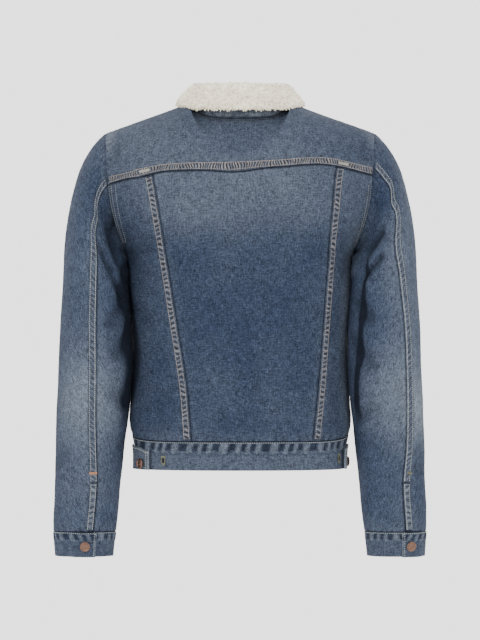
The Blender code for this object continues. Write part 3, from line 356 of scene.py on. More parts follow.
SLEEVE_FOLDS = table_of(
    Fold,
    (Side.LEFT, 155, -0.285, 112, -0.335, 0.0045, 0.013),
    (Side.LEFT, 165, -0.330, 118, -0.385, 0.0040, 0.013),
    (Side.LEFT, 155, -0.455, 116, -0.430, 0.0030, 0.013),
    (Side.LEFT, 60, -0.520, 10, -0.545, 0.0025, 0.014),
    (Side.LEFT, 215, -0.330, 275, -0.372, 0.0045, 0.014),
    (Side.LEFT, 220, -0.420, 290, -0.440, 0.0040, 0.014),
    (Side.RIGHT, 152, -0.290, 108, -0.330, 0.0045, 0.013),
    (Side.RIGHT, 160, -0.345, 104, -0.400, 0.0045, 0.013),
    (Side.RIGHT, 150, -0.475, 102, -0.450, 0.0030, 0.013),
    (Side.RIGHT, 50, -0.560, 5, -0.540, 0.0025, 0.014),
    (Side.RIGHT, 212, -0.318, 272, -0.356, 0.0045, 0.014),
    (Side.RIGHT, 222, -0.410, 288, -0.446, 0.0040, 0.014),
    (Side.LEFT, 172, -0.222, 160, -0.256, -0.0050, 0.016),
    (Side.RIGHT, 172, -0.222, 160, -0.256, -0.0050, 0.016),
    (Side.LEFT, 184, -0.216, 178, -0.236, -0.0025, 0.012),
    (Side.RIGHT, 184, -0.216, 178, -0.236, -0.0045, 0.012),
    (Side.LEFT, 112, -0.140, 158, -0.262, 0.0060, 0.009),
    (Side.LEFT, 102, -0.208, 150, -0.300, 0.0055, 0.008),
    (Side.RIGHT, 96, -0.185, 140, -0.225, 0.0065, 0.008),
    (Side.RIGHT, 94, -0.222, 138, -0.262, 0.0060, 0.007),
)
EDGE_PLACES = (0.0005, 0.0012, 0.0022, 0.0045, 0.0058, 0.0070, 0.0084)
BODY_FADES_AND_LIGHT = table_of(
    Fade,
    (Face.BACK, 0.000, -0.045, 0.260, 0.075, 0.13),
    (Face.BACK, 0.150, -0.062, 0.060, 0.045, 0.06),
    (Face.BACK, -0.165, -0.062, 0.045, 0.035, -0.05),
    (Face.BACK, -0.005, -0.052, 0.030, 0.026, -0.04),
    (Face.BACK, 0.000, -0.140, 0.185, 0.056, 0.15),
    (Face.BACK, 0.085, -0.172, 0.055, 0.034, 0.04),
    (Face.BACK, -0.090, -0.455, 0.060, 0.032, 0.03),
    # This patch is painted light: it lightens the body's right side where it lies in shade against the right
    # sleeve.
    (Face.BACK, -0.180, -0.350, 0.026, 0.150, 0.38),
    (Face.BACK, -0.172, -0.150, 0.030, 0.060, 0.02),
    (Face.BACK, 0.200, -0.048, 0.012, 0.018, 0.20),
    (Face.BACK, -0.200, -0.048, 0.010, 0.016, 0.10),
    (Face.BACK, 0.020, -0.330, 0.110, 0.060, -0.02),
    (Face.FRONT, 0.000, -0.085, 0.260, 0.110, 0.16),
    (Face.FRONT, 0.095, -0.250, 0.060, 0.090, 0.05),
    (Face.FRONT, -0.100, -0.240, 0.060, 0.100, 0.05),
)
SLEEVE_FADES = table_of(
    Fade,
    (Side.LEFT, 50, -0.330, 70, 0.330, 0.05),
    (Side.LEFT, 88, -0.450, 72, 0.085, 0.20),
    (Side.LEFT, 70, -0.440, 40, 0.050, 0.07),
    (Side.LEFT, 70, -0.590, 60, 0.050, 0.07),
    (Side.LEFT, 105, -0.120, 45, 0.045, -0.05),
    (Side.RIGHT, 40, -0.250, 60, 0.160, 0.14),
    (Side.RIGHT, 66, -0.440, 66, 0.075, 0.24),
    (Side.RIGHT, 22, -0.460, 34, 0.050, 0.22),
    (Side.RIGHT, 60, -0.590, 60, 0.050, 0.04),
    (Side.RIGHT, 75, -0.120, 40, 0.055, -0.09),
    (Side.LEFT, 285, -0.430, 60, 0.070, 0.16),
    (Side.RIGHT, 285, -0.430, 60, 0.070, 0.16),
    (Side.LEFT, 330, -0.110, 60, 0.070, 0.08),
    (Side.RIGHT, 330, -0.110, 60, 0.070, 0.08),
)
# Painted shade on the body's left side, where the left sleeve shades it: where it starts at each height.
SHADY_SIDE = table_of(
    ShadyEdge,
    (-0.500, 0.172),
    (-0.459, 0.1650),
    (-0.425, 0.1540),
    (-0.400, 0.1490),
    (-0.370, 0.1480),
    (-0.338, 0.1535),
    (-0.294, 0.1600),
    (-0.250, 0.1680),
)
# Painted shade on each sleeve's inner side, next to the body.
SHADY_SLEEVES = {
    Side.LEFT: ShadySleeve(((-0.280, 165.0),), ((-0.280, 24.0), (-0.225, 8.0))),
    Side.RIGHT: ShadySleeve(
        ((-0.455, 148.0), (-0.390, 137.0), (-0.330, 133.0), (-0.250, 129.0)),
        ((-0.320, 7.5), (-0.235, 3.0)),
    ),
}
FADE_POWER = 1.6
RAW_EDGE = EdgeShape(0.0016, 0.0013, 0.0014)
SEWN_EDGE = EdgeShape(0.0022, 0.0007, 0.0070)
LAP_DROP = 0.0035
LAP_START_X = -0.036
LAP_RAMP = 0.015
STRIP_COLUMNS = (0.0, 0.05, 0.12, 0.2, 0.32, 0.44, 0.56, 0.68, 0.8, 0.88, 0.95, 1.0)
BUTTON_OUTLINE = (
    (0.0, 0.92), (0.22, 0.93), (0.40, 0.88), (0.52, 0.80), (0.60, 0.78), (0.66, 0.84), (0.74, 0.97),
    (0.84, 1.0), (0.94, 0.94), (1.0, 0.80), (0.97, 0.62), (0.90, 0.52), (0.50, 0.42), (0.38, 0.36),
    (0.38, 0.0),
)
LAMPS = table_of(
    Lamp,
    ("key", (1.6, 4.2, 1.9), 3.0, 110),
    ("fill", (-2.6, 3.4, 0.4), 2.5, 30),
    ("front", (-0.8, -4.0, 1.6), 3.0, 70),
)


# ------------------------------------------------------------------ small helpers


def mix(start: Value, end: Value, share: float) -> Value:
    """The value, point or array that lies this share of the way from start to end."""
    return start + (end - start) * share


def smooth_step(value: Amount) -> Amount:
    """0 below 0, 1 above 1 and a smooth ramp between, for numbers and arrays."""
    clipped = np.clip(value, 0.0, 1.0)
    return clipped * clipped * (3 - 2 * clipped)


def bell(away: Amount, width: Amount, power: float = 2) -> Amount:
    """1 where away is nothing, fading to nothing past the width; a higher power has a flatter top."""
    return np.exp(-((away / width) ** power))


def bezier(p0: Vector, p1: Vector, p2: Vector, p3: Vector, w: float) -> Vector:
    """Point on a cubic Bezier curve at a share of its run."""
    rest = 1 - w
    return p0 * rest**3 + p1 * (3 * w * rest * rest) + p2 * (3 * w * w * rest) + p3 * w**3


def even(count: int, start: float = 0.0, end: float = 1.0) -> list[float]:
    """Evenly spaced stations from start to end."""
    return [mix(start, end, n / count) for n in range(count + 1)]


def stations(length: float, step: float, edges: Sequence[float]) -> list[float]:
    """Shares along a run, evenly spaced but finer at both ends.

    Args:
        length: length of the run in metres.
        step: spacing in metres.
        edges: distances of the finer places from each end.

    Returns:
        Rising shares from 0 to 1.
    """
    inner = even(max(int(round(length / step)), 2))
    near = [d / length for d in edges]
    last = near[-1] + 0.4 * step / length if near else 0.0
    kept = [share for share in inner if last < share < 1 - last]
    return [0.0, *near, *kept, *(1 - share for share in reversed(near)), 1.0]


class Table:
    """Rows of sizes, read as smooth curves of their first column."""

    def __init__(self, rows: Sequence[NamedTuple]) -> None:
        """Works out each column's slopes.

        Args:
            rows: named rows with a rising first column.
        """
        self.keys = [float(row[0]) for row in rows]
        steps = np.diff(self.keys)
        self.columns: dict[str, tuple[list[float], list[float]]] = {}
        for name in rows[0]._fields[1:]:
            values = [float(getattr(row, name)) for row in rows]
            rates = np.diff(values) / steps
            inner = (rates[:-1] * steps[1:] + rates[1:] * steps[:-1]) / (steps[:-1] + steps[1:])
            self.columns[name] = (values, [float(rates[0]), *map(float, inner), float(rates[-1])])

    def read(self, key: float, column: str) -> float:
        """Value of a column at a key.

        Args:
            key: place on the first column's scale.
            column: the column's name.

        Returns:
            The value on a smooth curve through the rows.
        """
        keys = self.keys
        values, slopes = self.columns[column]
        key = min(max(key, keys[0]), keys[-1])
        i = min(max(bisect_right(keys, key) - 1, 0), len(keys) - 2)
        rise = keys[i + 1] - keys[i]
        w = (key - keys[i]) / rise
        return (
            values[i] * (2 * w**3 - 3 * w**2 + 1)
            + slopes[i] * rise * (w**3 - 2 * w**2 + w)
            + values[i + 1] * (3 * w**2 - 2 * w**3)
            + slopes[i + 1] * rise * (w**3 - w**2)
        )


def press(across: Array, along: Array, ends: tuple[float, ...], depth: float, width: float) -> Array:
    """Depth of a soft trough at places on the cloth.

    Args:
        across: array of places across.
        along: array of places along.
        ends: the trough's two ends, across and along.
        depth: how deep it is.
        width: how wide it is.

    Returns:
        Array of depths.
    """
    x0, y0, x1, y1 = ends
    dx, dy = x1 - x0, y1 - y0
    length = math.hypot(dx, dy)
    share = ((across - x0) * dx + (along - y0) * dy) / length**2
    away = ((across - x0) * dy - (along - y0) * dx) / length
    start = smooth_step((share + 0.15) / 0.35)
    end = smooth_step((1.15 - share) / 0.35)
    return depth * start * end * bell(away, width)


def waves(points: Array, size: float, seed: int) -> Array:
    """Smooth uneven swells between -1 and 1 through space.

    Args:
        points: array whose last axis is x, y, z.
        size: length of the swells in metres.
        seed: picks the directions.

    Returns:
        Array of heights.
    """
    picks = np.random.default_rng(seed)
    total = np.zeros(points.shape[:-1])
    for _ in range(6):
        way = picks.normal(size=3)
        way *= 2 * math.pi / (size * picks.uniform(0.7, 1.5) * np.linalg.norm(way))
        total += np.sin(points @ way + picks.uniform(0, 6.3))
    return total / 3.2


# ------------------------------------------------------------------ forms


@dataclass
class BodyForm:
    """Form of the body, from the hem to the neck and shoulder seams."""

    squareness: float = 2.25
    neck_half_width: float = 0.080
    neck_side_z: float = 0.0074
    neck_back: tuple[float, float] = (0.066, -0.0150)
    neck_front: tuple[float, float] = (-0.082, -0.070)
    shoulder_tip: tuple[float, float] = (0.205, -0.037)
    ridge_y: float = -0.004
    band_side_rise: float = 0.009
    band_rise_start: float = 0.60
    shoulder_side_drop: float = 0.015
    neck_rise: dict[Face, float] = field(default_factory=lambda: {Face.BACK: 52, Face.FRONT: 60})
    rings: Table = field(default_factory=lambda: Table(TORSO_RINGS))
    armhole: Table = field(default_factory=lambda: Table(ARMHOLE_ROWS))
    shapes: dict = field(default_factory=dict)

    def edge(self, face: Face, z: float) -> tuple[float, float]:
        """Half width and depth at which a panel ends, at a height."""
        armhole = (self.armhole.read(z, face.value + axis) for axis in ("_x", "_y"))
        return tuple(armhole) if z > UNDERARM_Z else (self.rings.read(z, "half_width"), 0.0)

    def row_shape(self, face: Face, z: float) -> tuple[float, float, float]:
        """Depth, full half width and end angle of the outline at a height.

        Args:
            face: back or front.
            z: height.

        Returns:
            The depth, the width and the angle.
        """
        key = (face, round(z, 5))
        if key not in self.shapes:
            depth = self.rings.read(z, face.value)
            x, y = self.edge(face, z)
            width = x / (1 - (y / depth) ** self.squareness) ** (1 / self.squareness)
            self.shapes[key] = (depth, width, math.atan2(x, y))
        return self.shapes[key]

    def torso(self, face: Face, t: float, z: float) -> Vector:
        """Point of the outline: t runs from -1 at the right side to 1 at the left.

        Args:
            face: back or front.
            t: place across.
            z: height.

        Returns:
            The point.
        """
        depth, width, end_angle = self.row_shape(face, z)
        angle = t * end_angle
        sine, cosine = math.sin(angle), math.cos(angle)
        power = self.squareness
        reach = (abs(sine / width) ** power + abs(cosine / depth) ** power) ** (-1 / power)
        return Vector((reach * sine, (reach if face is Face.BACK else -reach) * cosine, z))

    def band_top(self, t: float) -> float:
        """Height of the waistband seam."""
        rise = max(abs(t) - self.band_rise_start, 0) / (1 - self.band_rise_start)
        return BAND_TOP_Z + self.band_side_rise * rise**2

    def shoulder_start_z(self, t: float) -> float:
        """Height at which the back starts to turn over the shoulder."""
        return SHOULDER_START_Z - self.shoulder_side_drop * abs(t) ** 2.2

    def top_edge(self, face: Face, t: float) -> Vector:
        """Top edge of a panel: the neck seam, then the shoulder seam.

        Args:
            face: back or front.
            t: place across, from -1 to 1.

        Returns:
            The point.
        """
        side = 1 if t >= 0 else -1
        share = abs(t) / NECK_SHARE
        if share <= 1:
            turn, cosine = math.sin(share * math.pi / 2), math.cos(share * math.pi / 2)
            y_mid, z_mid = self.neck_back if face is Face.BACK else self.neck_front
            bend = turn**4 if face is Face.BACK else 1 - max(cosine, 0.0) ** 1.3
            x, y = side * self.neck_half_width * turn, mix(self.ridge_y, y_mid, cosine)
            return Vector((x, y, mix(z_mid, self.neck_side_z, bend)))
        along = (abs(t) - NECK_SHARE) / (1 - NECK_SHARE)
        x = mix(self.neck_half_width, self.shoulder_tip[0], along)
        return Vector((side * x, self.ridge_y, mix(self.neck_side_z, self.shoulder_tip[1], along)))

    def shoulder(self, face: Face, t: float, start_z: float, share: float) -> Vector:
        """Surface from a level row of the body up and over to the neck and shoulder seams.

        Args:
            face: back or front.
            t: place across.
            start_z: height of the level row.
            share: share of the way up from it.

        Returns:
            The point.
        """
        low = self.torso(face, t, start_z)
        rise = (low - self.torso(face, t, start_z - SLOPE_STEP)).normalized()
        high = self.top_edge(face, t)
        handle = 0.42 * (high - low).length
        angle = math.radians(self.neck_rise[face] * (1 - min(abs(t) / NECK_SHARE, 1) ** 2))
        way = Vector((0, (-1 if face is Face.BACK else 1) * math.cos(angle), math.sin(angle)))
        return bezier(low, low + rise * handle, high - way * handle, high, share)

    def panel(self, face: Face, t: float, v: float, turn: float, turn_z: float) -> Vector:
        """Point of a face of the body.

        Args:
            face: back or front.
            t: place across, from -1 at the right to 1 at the left.
            v: height share.
            turn: height share at which it starts to turn over the shoulder.
            turn_z: height of that place.

        Returns:
            The point.
        """
        if v <= turn:
            return self.torso(face, t, mix(self.band_top(t), turn_z, v / turn))
        return self.shoulder(face, t, turn_z, (v - turn) / (1 - turn))

    def back(self, t: float, v: float) -> Vector:
        """Back: v runs from 0 at the waistband to 1 at the neck and shoulder seams."""
        return self.panel(Face.BACK, t, v, YOKE_SHARE, self.shoulder_start_z(t))

    def front(self, t: float, v: float) -> Vector:
        """Front, in the same shares as the back."""
        return self.panel(Face.FRONT, t, v, CHEST_SHARE, CHEST_Z)

    def band(self, q: float, v: float) -> Vector:
        """Waistband all round: q is 1 at the side seams and 2 at the centre front."""
        face, t = (Face.BACK, q) if abs(q) <= 1 else (Face.FRONT, (2 - abs(q)) * math.copysign(1, q))
        return self.torso(face, t, mix(HEM_Z, self.band_top(t), v))

    def t_at(self, form: Form, x: float, v: float) -> float:
        """Where across a panel a point lies this far from the middle, at a height share.

        Args:
            form: point at a place across and a height share.
            x: distance from the middle.
            v: height share.

        Returns:
            The place across, from -1 to 1.
        """
        low, high = -1.0, 1.0
        for _ in range(20):
            middle = (low + high) / 2
            if form(middle, v).x < x:
                low = middle
            else:
                high = middle
        return (low + high) / 2


FORM = BodyForm()
SEAM_TABLE = Table(BACK_SEAMS)
SLEEVE_SEAM_TABLE = Table(SLEEVE_SEAMS)


@lru_cache(maxsize=None)
def back_seam_t(v: float, side: Side) -> float:
    """Where across the back a long seam runs, at a height share."""
    return FORM.t_at(FORM.back, side.value * SEAM_TABLE.read(v, side.word), v)


@lru_cache(maxsize=None)
def front_t(x: float, v: float) -> float:
    """Where across the front a point lies this far from the middle, at a height share."""
    return FORM.t_at(FORM.front, x, v)


class YokeLine:
    """Height shares at which the yoke seam crosses the back."""

    def __init__(self, places: int = 160) -> None:
        """Looks the seam up.

        Args:
            places: how many places across the back are looked up.
        """
        heights = Table(YOKE_SEAM)
        self.across = even(places, -1.0, 1.0)
        self.shares = []
        for t in self.across:
            low, high = 0.5 * YOKE_SHARE, 1.0
            for _ in range(20):
                v = (low + high) / 2
                point = FORM.back(t, v)
                if point.z < heights.read(point.x, "z"):
                    low = v
                else:
                    high = v
            self.shares.append(v)
        start, end = FORM.band_top(1), FORM.shoulder_start_z(1)
        self.underarm = YOKE_SHARE * (UNDERARM_Z - start) / (end - start)

    def share(self, t: float) -> float:
        """Height share of the seam."""
        return float(np.interp(t, self.across, self.shares))

    def below(self, t: float, v: float) -> tuple[float, float]:
        """Place on the panels under the yoke, whose rows above the underarm stretch to the seam."""
        above = mix(self.underarm, self.share(t), (v - self.underarm) / (YOKE_SHARE - self.underarm))
        return t, v if v <= self.underarm else above


YOKE_LINE = YokeLine()


@dataclass(eq=False)
class Surface:
    """A form, the side on which its slopes' cross product points outward, 1 or -1, and its folds."""

    form: Form
    outward: int
    folds: Folds | None = None
    step_u: float = SLOPE_STEP

    def slopes(self, u: float, v: float) -> tuple[Vector, Vector]:
        """How the form runs with u and with v, per unit."""
        along_u = (self.form(u + self.step_u, v) - self.form(u - self.step_u, v)) / (2 * self.step_u)
        return along_u, (self.form(u, v + SLOPE_STEP) - self.form(u, v - SLOPE_STEP)) / (2 * SLOPE_STEP)

    def normal(self, u: float, v: float) -> Vector:
        """Outward normal of the plain form."""
        along_u, along_v = self.slopes(u, v)
        return along_u.cross(along_v).normalized() * self.outward

    def place(self, u: float, v: float) -> tuple[Vector, Vector]:
        """Point and outward normal."""
        return self.form(u, v), self.normal(u, v)


def folded(rows: Sequence[Fold], where: Face | Side, across: Array, z: Array, scale: float = 1.0) -> Array:
    """Depth of the folds on one face or sleeve.

    Args:
        rows: the folds.
        where: the face or the sleeve.
        across: array of places across, in metres.
        z: array of heights.
        scale: metres for one unit of a fold's places across.

    Returns:
        Array of depths.
    """
    total = np.zeros(z.shape)
    for row in rows:
        if row.where is where:
            ends = (row.start * scale, row.start_z, row.end * scale, row.end_z)
            total += press(across, z, ends, row.depth, row.width)
    return total


def body_folds(face: Face, _u: Array, points: Array) -> Array:
    """Depth of the folds on one face of the body, at arrays of places and points."""
    return folded(BODY_FOLDS, face, points[..., 0], points[..., 2])


BACK = Surface(FORM.back, -1, partial(body_folds, Face.BACK))
FRONT = Surface(FORM.front, 1, partial(body_folds, Face.FRONT))
BAND = Surface(FORM.band, -1)


class SleeveSurface(Surface):
    """A sleeve whose u is an angle in degrees: 0 outside, 90 behind, 180 inside."""

    rings = Table(SLEEVE_RINGS)
    caps = Table([row._replace(angle=row.angle + turn) for turn in (-360, 0, 360) for row in CAP_ROWS])
    gap: float = 0.0011
    ease_share: float = 0.15
    metres_per_degree: float = 0.00090
    halves: dict[Face, tuple] = {}

    def __init__(self, side: Side) -> None:
        """Keeps the side.

        Args:
            side: which sleeve; the right one is the left one mirrored.
        """
        super().__init__(self.sleeve, -1, self.depths, 0.5)
        self.side = side
        self.curves: dict[float, tuple] = {}

    @classmethod
    def armhole_half(cls, face: Face) -> tuple:
        """Points, normals and lengths of the armhole's edge from the shoulder tip to the underarm.

        Args:
            face: back or front.

        Returns:
            The points, the normals and the lengths.
        """
        if face not in cls.halves:
            surface = BACK if face is Face.BACK else FRONT
            top = YOKE_SHARE if face is Face.BACK else CHEST_SHARE
            start = FORM.band_top(1)
            end = FORM.shoulder_start_z(1) if face is Face.BACK else CHEST_Z
            underarm = (UNDERARM_Z - start) / (end - start)
            rows = [top * mix(underarm, 1, row) for row in (0.0, 0.06, 0.15, 0.30, 0.52, 0.76, 1.0)]
            rows += even(7 if face is Face.BACK else 6, top, 1.0)[1:]
            points = [surface.form(1, v) for v in reversed(rows)]
            normals = [surface.normal(1, v) for v in reversed(rows)]
            lengths = np.cumsum([0.0] + [(b - a).length for a, b in zip(points, points[1:])]).tolist()
            cls.halves[face] = (points, normals, lengths)
        return cls.halves[face]

    def armhole(self, angle: float) -> tuple[Vector, Vector, Vector]:
        """Point, normal and way off the panel at an angle round the armhole.

        Args:
            angle: 0 at the shoulder tip, 180 at the underarm.

        Returns:
            The point, the normal and the way.
        """
        angle = angle % 360
        face = Face.BACK if angle <= 180 else Face.FRONT
        share = angle / 180 if angle <= 180 else (360 - angle) / 180
        points, normals, lengths = self.armhole_half(face)
        run = share * lengths[-1]
        i = min(max(bisect_right(lengths, run) - 1, 0), len(points) - 2)
        w = (run - lengths[i]) / (lengths[i + 1] - lengths[i])
        normal = mix(normals[i], normals[i + 1], w).normalized()
        way = (points[i + 1] - points[i]).normalized() * (1 if face is Face.BACK else -1)
        return mix(points[i], points[i + 1], w), normal, way.cross(normal).normalized()

    def ring(self, angle: float, z: float) -> Vector:
        """Point of the outline at a height below the cap.

        Args:
            angle: angle round the sleeve.
            z: height.

        Returns:
            The point.
        """
        inner, outer = self.rings.read(z, "inner"), self.rings.read(z, "outer")
        middle_y, half_depth = self.rings.read(z, "middle_y"), self.rings.read(z, "half_depth")
        turn = math.radians(angle)
        x = (inner + outer) / 2 + (outer - inner) / 2 * math.cos(turn)
        return Vector((x, middle_y + half_depth * math.sin(turn), z))

    def cap_curve(self, angle: float) -> tuple[Vector, Vector, Vector, Vector]:
        """The four points of the curve from the armhole to the end of the cap.

        Args:
            angle: angle round the armhole.

        Returns:
            The four points.
        """
        key = round(angle, 2)
        if key not in self.curves:
            edge, _, off = self.armhole(angle)
            start = edge + off * self.gap
            turned = angle % 360
            heading = Vector([self.caps.read(turned, column) for column in ("out_x", "out_y", "out_z")])
            end = self.ring(angle, CAP_END_Z)
            down = (self.ring(angle, CAP_END_Z - SLOPE_STEP) - end).normalized()
            self.curves[key] = (
                start,
                start + heading.normalized() * self.caps.read(turned, "reach"),
                end - down * self.caps.read(turned, "drop"),
                end,
            )
        return self.curves[key]

    def sleeve(self, angle: float, v: float) -> Vector:
        """Left sleeve: v runs from 0 at the armhole to 1 at the cuff seam."""
        z = mix(CAP_END_Z, SLEEVE_END_Z, (v - CAP_SHARE) / (1 - CAP_SHARE))
        return bezier(*self.cap_curve(angle), v / CAP_SHARE) if v <= CAP_SHARE else self.ring(angle, z)

    def depths(self, u: Array, points: Array) -> Array:
        """Depth of the folds at arrays of angles and points."""
        scale = self.metres_per_degree
        return folded(SLEEVE_FOLDS, self.side, (u % 360) * scale, points[..., 2], scale)

    def normal(self, u: float, v: float) -> Vector:
        """Outward normal, eased from the body's at the armhole, on the left side.

        Args:
            u: angle.
            v: length share.

        Returns:
            The normal.
        """
        along_u, along_v = self.slopes(u, v)
        own = along_u.cross(along_v).normalized() * self.outward
        if self.form == self.sleeve and v < self.ease_share:
            from_underarm = abs(u % 360 - 180)
            inside = 1 - float(smooth_step((from_underarm - 35) / 35))
            share = max(float(smooth_step(v / self.ease_share)), inside)
            return mix(self.armhole(u)[1], own, share).normalized()
        return own

    def place(self, u: float, v: float) -> tuple[Vector, Vector]:
        """Point and outward normal on this side."""
        mirror = Vector((self.side.value, 1, 1))
        return self.form(u, v) * mirror, self.normal(u, v) * mirror


class CuffSurface(SleeveSurface):
    """A cuff, from the sleeve's end down to its lower edge."""

    def __init__(self, side: Side) -> None:
        """Keeps the side.

        Args:
            side: which cuff.
        """
        super().__init__(side)
        self.form = self.cuff
        self.folds = None

    def cuff(self, angle: float, v: float) -> Vector:
        """Left cuff: v runs from 0 at the sleeve to 1 at its lower edge."""
        return self.ring(angle, mix(SLEEVE_END_Z, CUFF_END_Z, v))


@dataclass
class CollarForm:
    """Form of the collar: s runs from -1 to 1 round the neck, v from the seam over the fold to the edge."""

    stand_share: float = 0.36
    roll_share: float = 0.58
    roll: float = 0.0040
    foot_gap: float = 0.0008
    neck_middle_y: float = -0.008
    rows: Table = field(default_factory=lambda: Table(COLLAR_ROWS))
    frames: dict = field(default_factory=dict)

    def seam(self, station: float) -> Vector:
        """Neck seam of the left half, from the centre back to the centre front."""
        face, share = (Face.BACK, station) if station <= 0.5 else (Face.FRONT, 1 - station)
        return FORM.top_edge(face, 2 * NECK_SHARE * share)

    def row(self, station: float, part: str) -> Vector:
        """Point of the fold line or of the fall's edge."""
        return Vector([self.rows.read(station, part + axis) for axis in ("_x", "_y", "_z")])

    def section(self, station: float) -> tuple:
        """Foot, fold, edge, the outward and upward ways at the fold and the way off the fall.

        Args:
            station: place round the neck.

        Returns:
            The three points and the three ways.
        """
        key = round(station, 5)
        if key in self.frames:
            return self.frames[key]
        foot = self.seam(station)
        to_middle = Vector((-foot.x, self.neck_middle_y - foot.y, 0)).normalized()
        foot = foot + (to_middle + Vector((0, 0, 1))) * self.foot_gap
        fold, edge = self.row(station, "fold"), self.row(station, "edge")
        near = max(station - 0.02, 0.0)
        way = (self.row(min(near + 0.04, 1.0), "fold") - self.row(near, "fold")).normalized()
        if station < 0.02:
            way = Vector((1, 0, 0))
        outward = way.cross((fold - foot).normalized() + (fold - edge).normalized()).normalized()
        if outward.dot(to_middle) > 0:
            outward = -outward
        upward = way.cross(outward)
        if upward.dot(fold - foot) < 0:
            upward = -upward
        across = way.cross(edge - fold - outward * self.roll).normalized()
        if across.dot(outward + upward) < 0:
            across = -across
        self.frames[key] = (foot, fold, edge, outward, upward, across)
        return self.frames[key]

    def collar(self, s: float, v: float) -> Vector:
        """Point of the collar.

        Args:
            s: place round the neck.
            v: share of the way from the seam to the edge.

        Returns:
            The point.
        """
        station = min(abs(s), 1.0)
        foot, fold, edge, outward, upward, across = self.section(station)
        middle = fold - upward * self.roll
        inner, outer = middle - outward * self.roll, middle + outward * self.roll
        if v <= self.stand_share:
            reach = upward * 0.3 * (inner - foot).length
            point = bezier(foot, mix(foot, inner, 0.4), inner - reach, inner, v / self.stand_share)
        elif v <= self.roll_share:
            turn = math.pi * (v - self.stand_share) / (self.roll_share - self.stand_share)
            point = middle + (upward * math.sin(turn) - outward * math.cos(turn)) * self.roll
        else:
            w = (v - self.roll_share) / (1 - self.roll_share)
            reach = upward * 0.35 * (edge - outer).length
            point = bezier(outer, outer - reach, mix(edge, outer, 0.35), edge, w)
            point += across * (self.rows.read(station, "arch") * 4 * w * (1 - w))
        return point if s >= 0 else Vector((-point.x, point.y, point.z))


COLLAR = Surface(CollarForm().collar, 1)
SLEEVES = {side: SleeveSurface(side) for side in Side}
CUFFS = {side: CuffSurface(side) for side in Side}


# ------------------------------------------------------------------ lattices and meshes


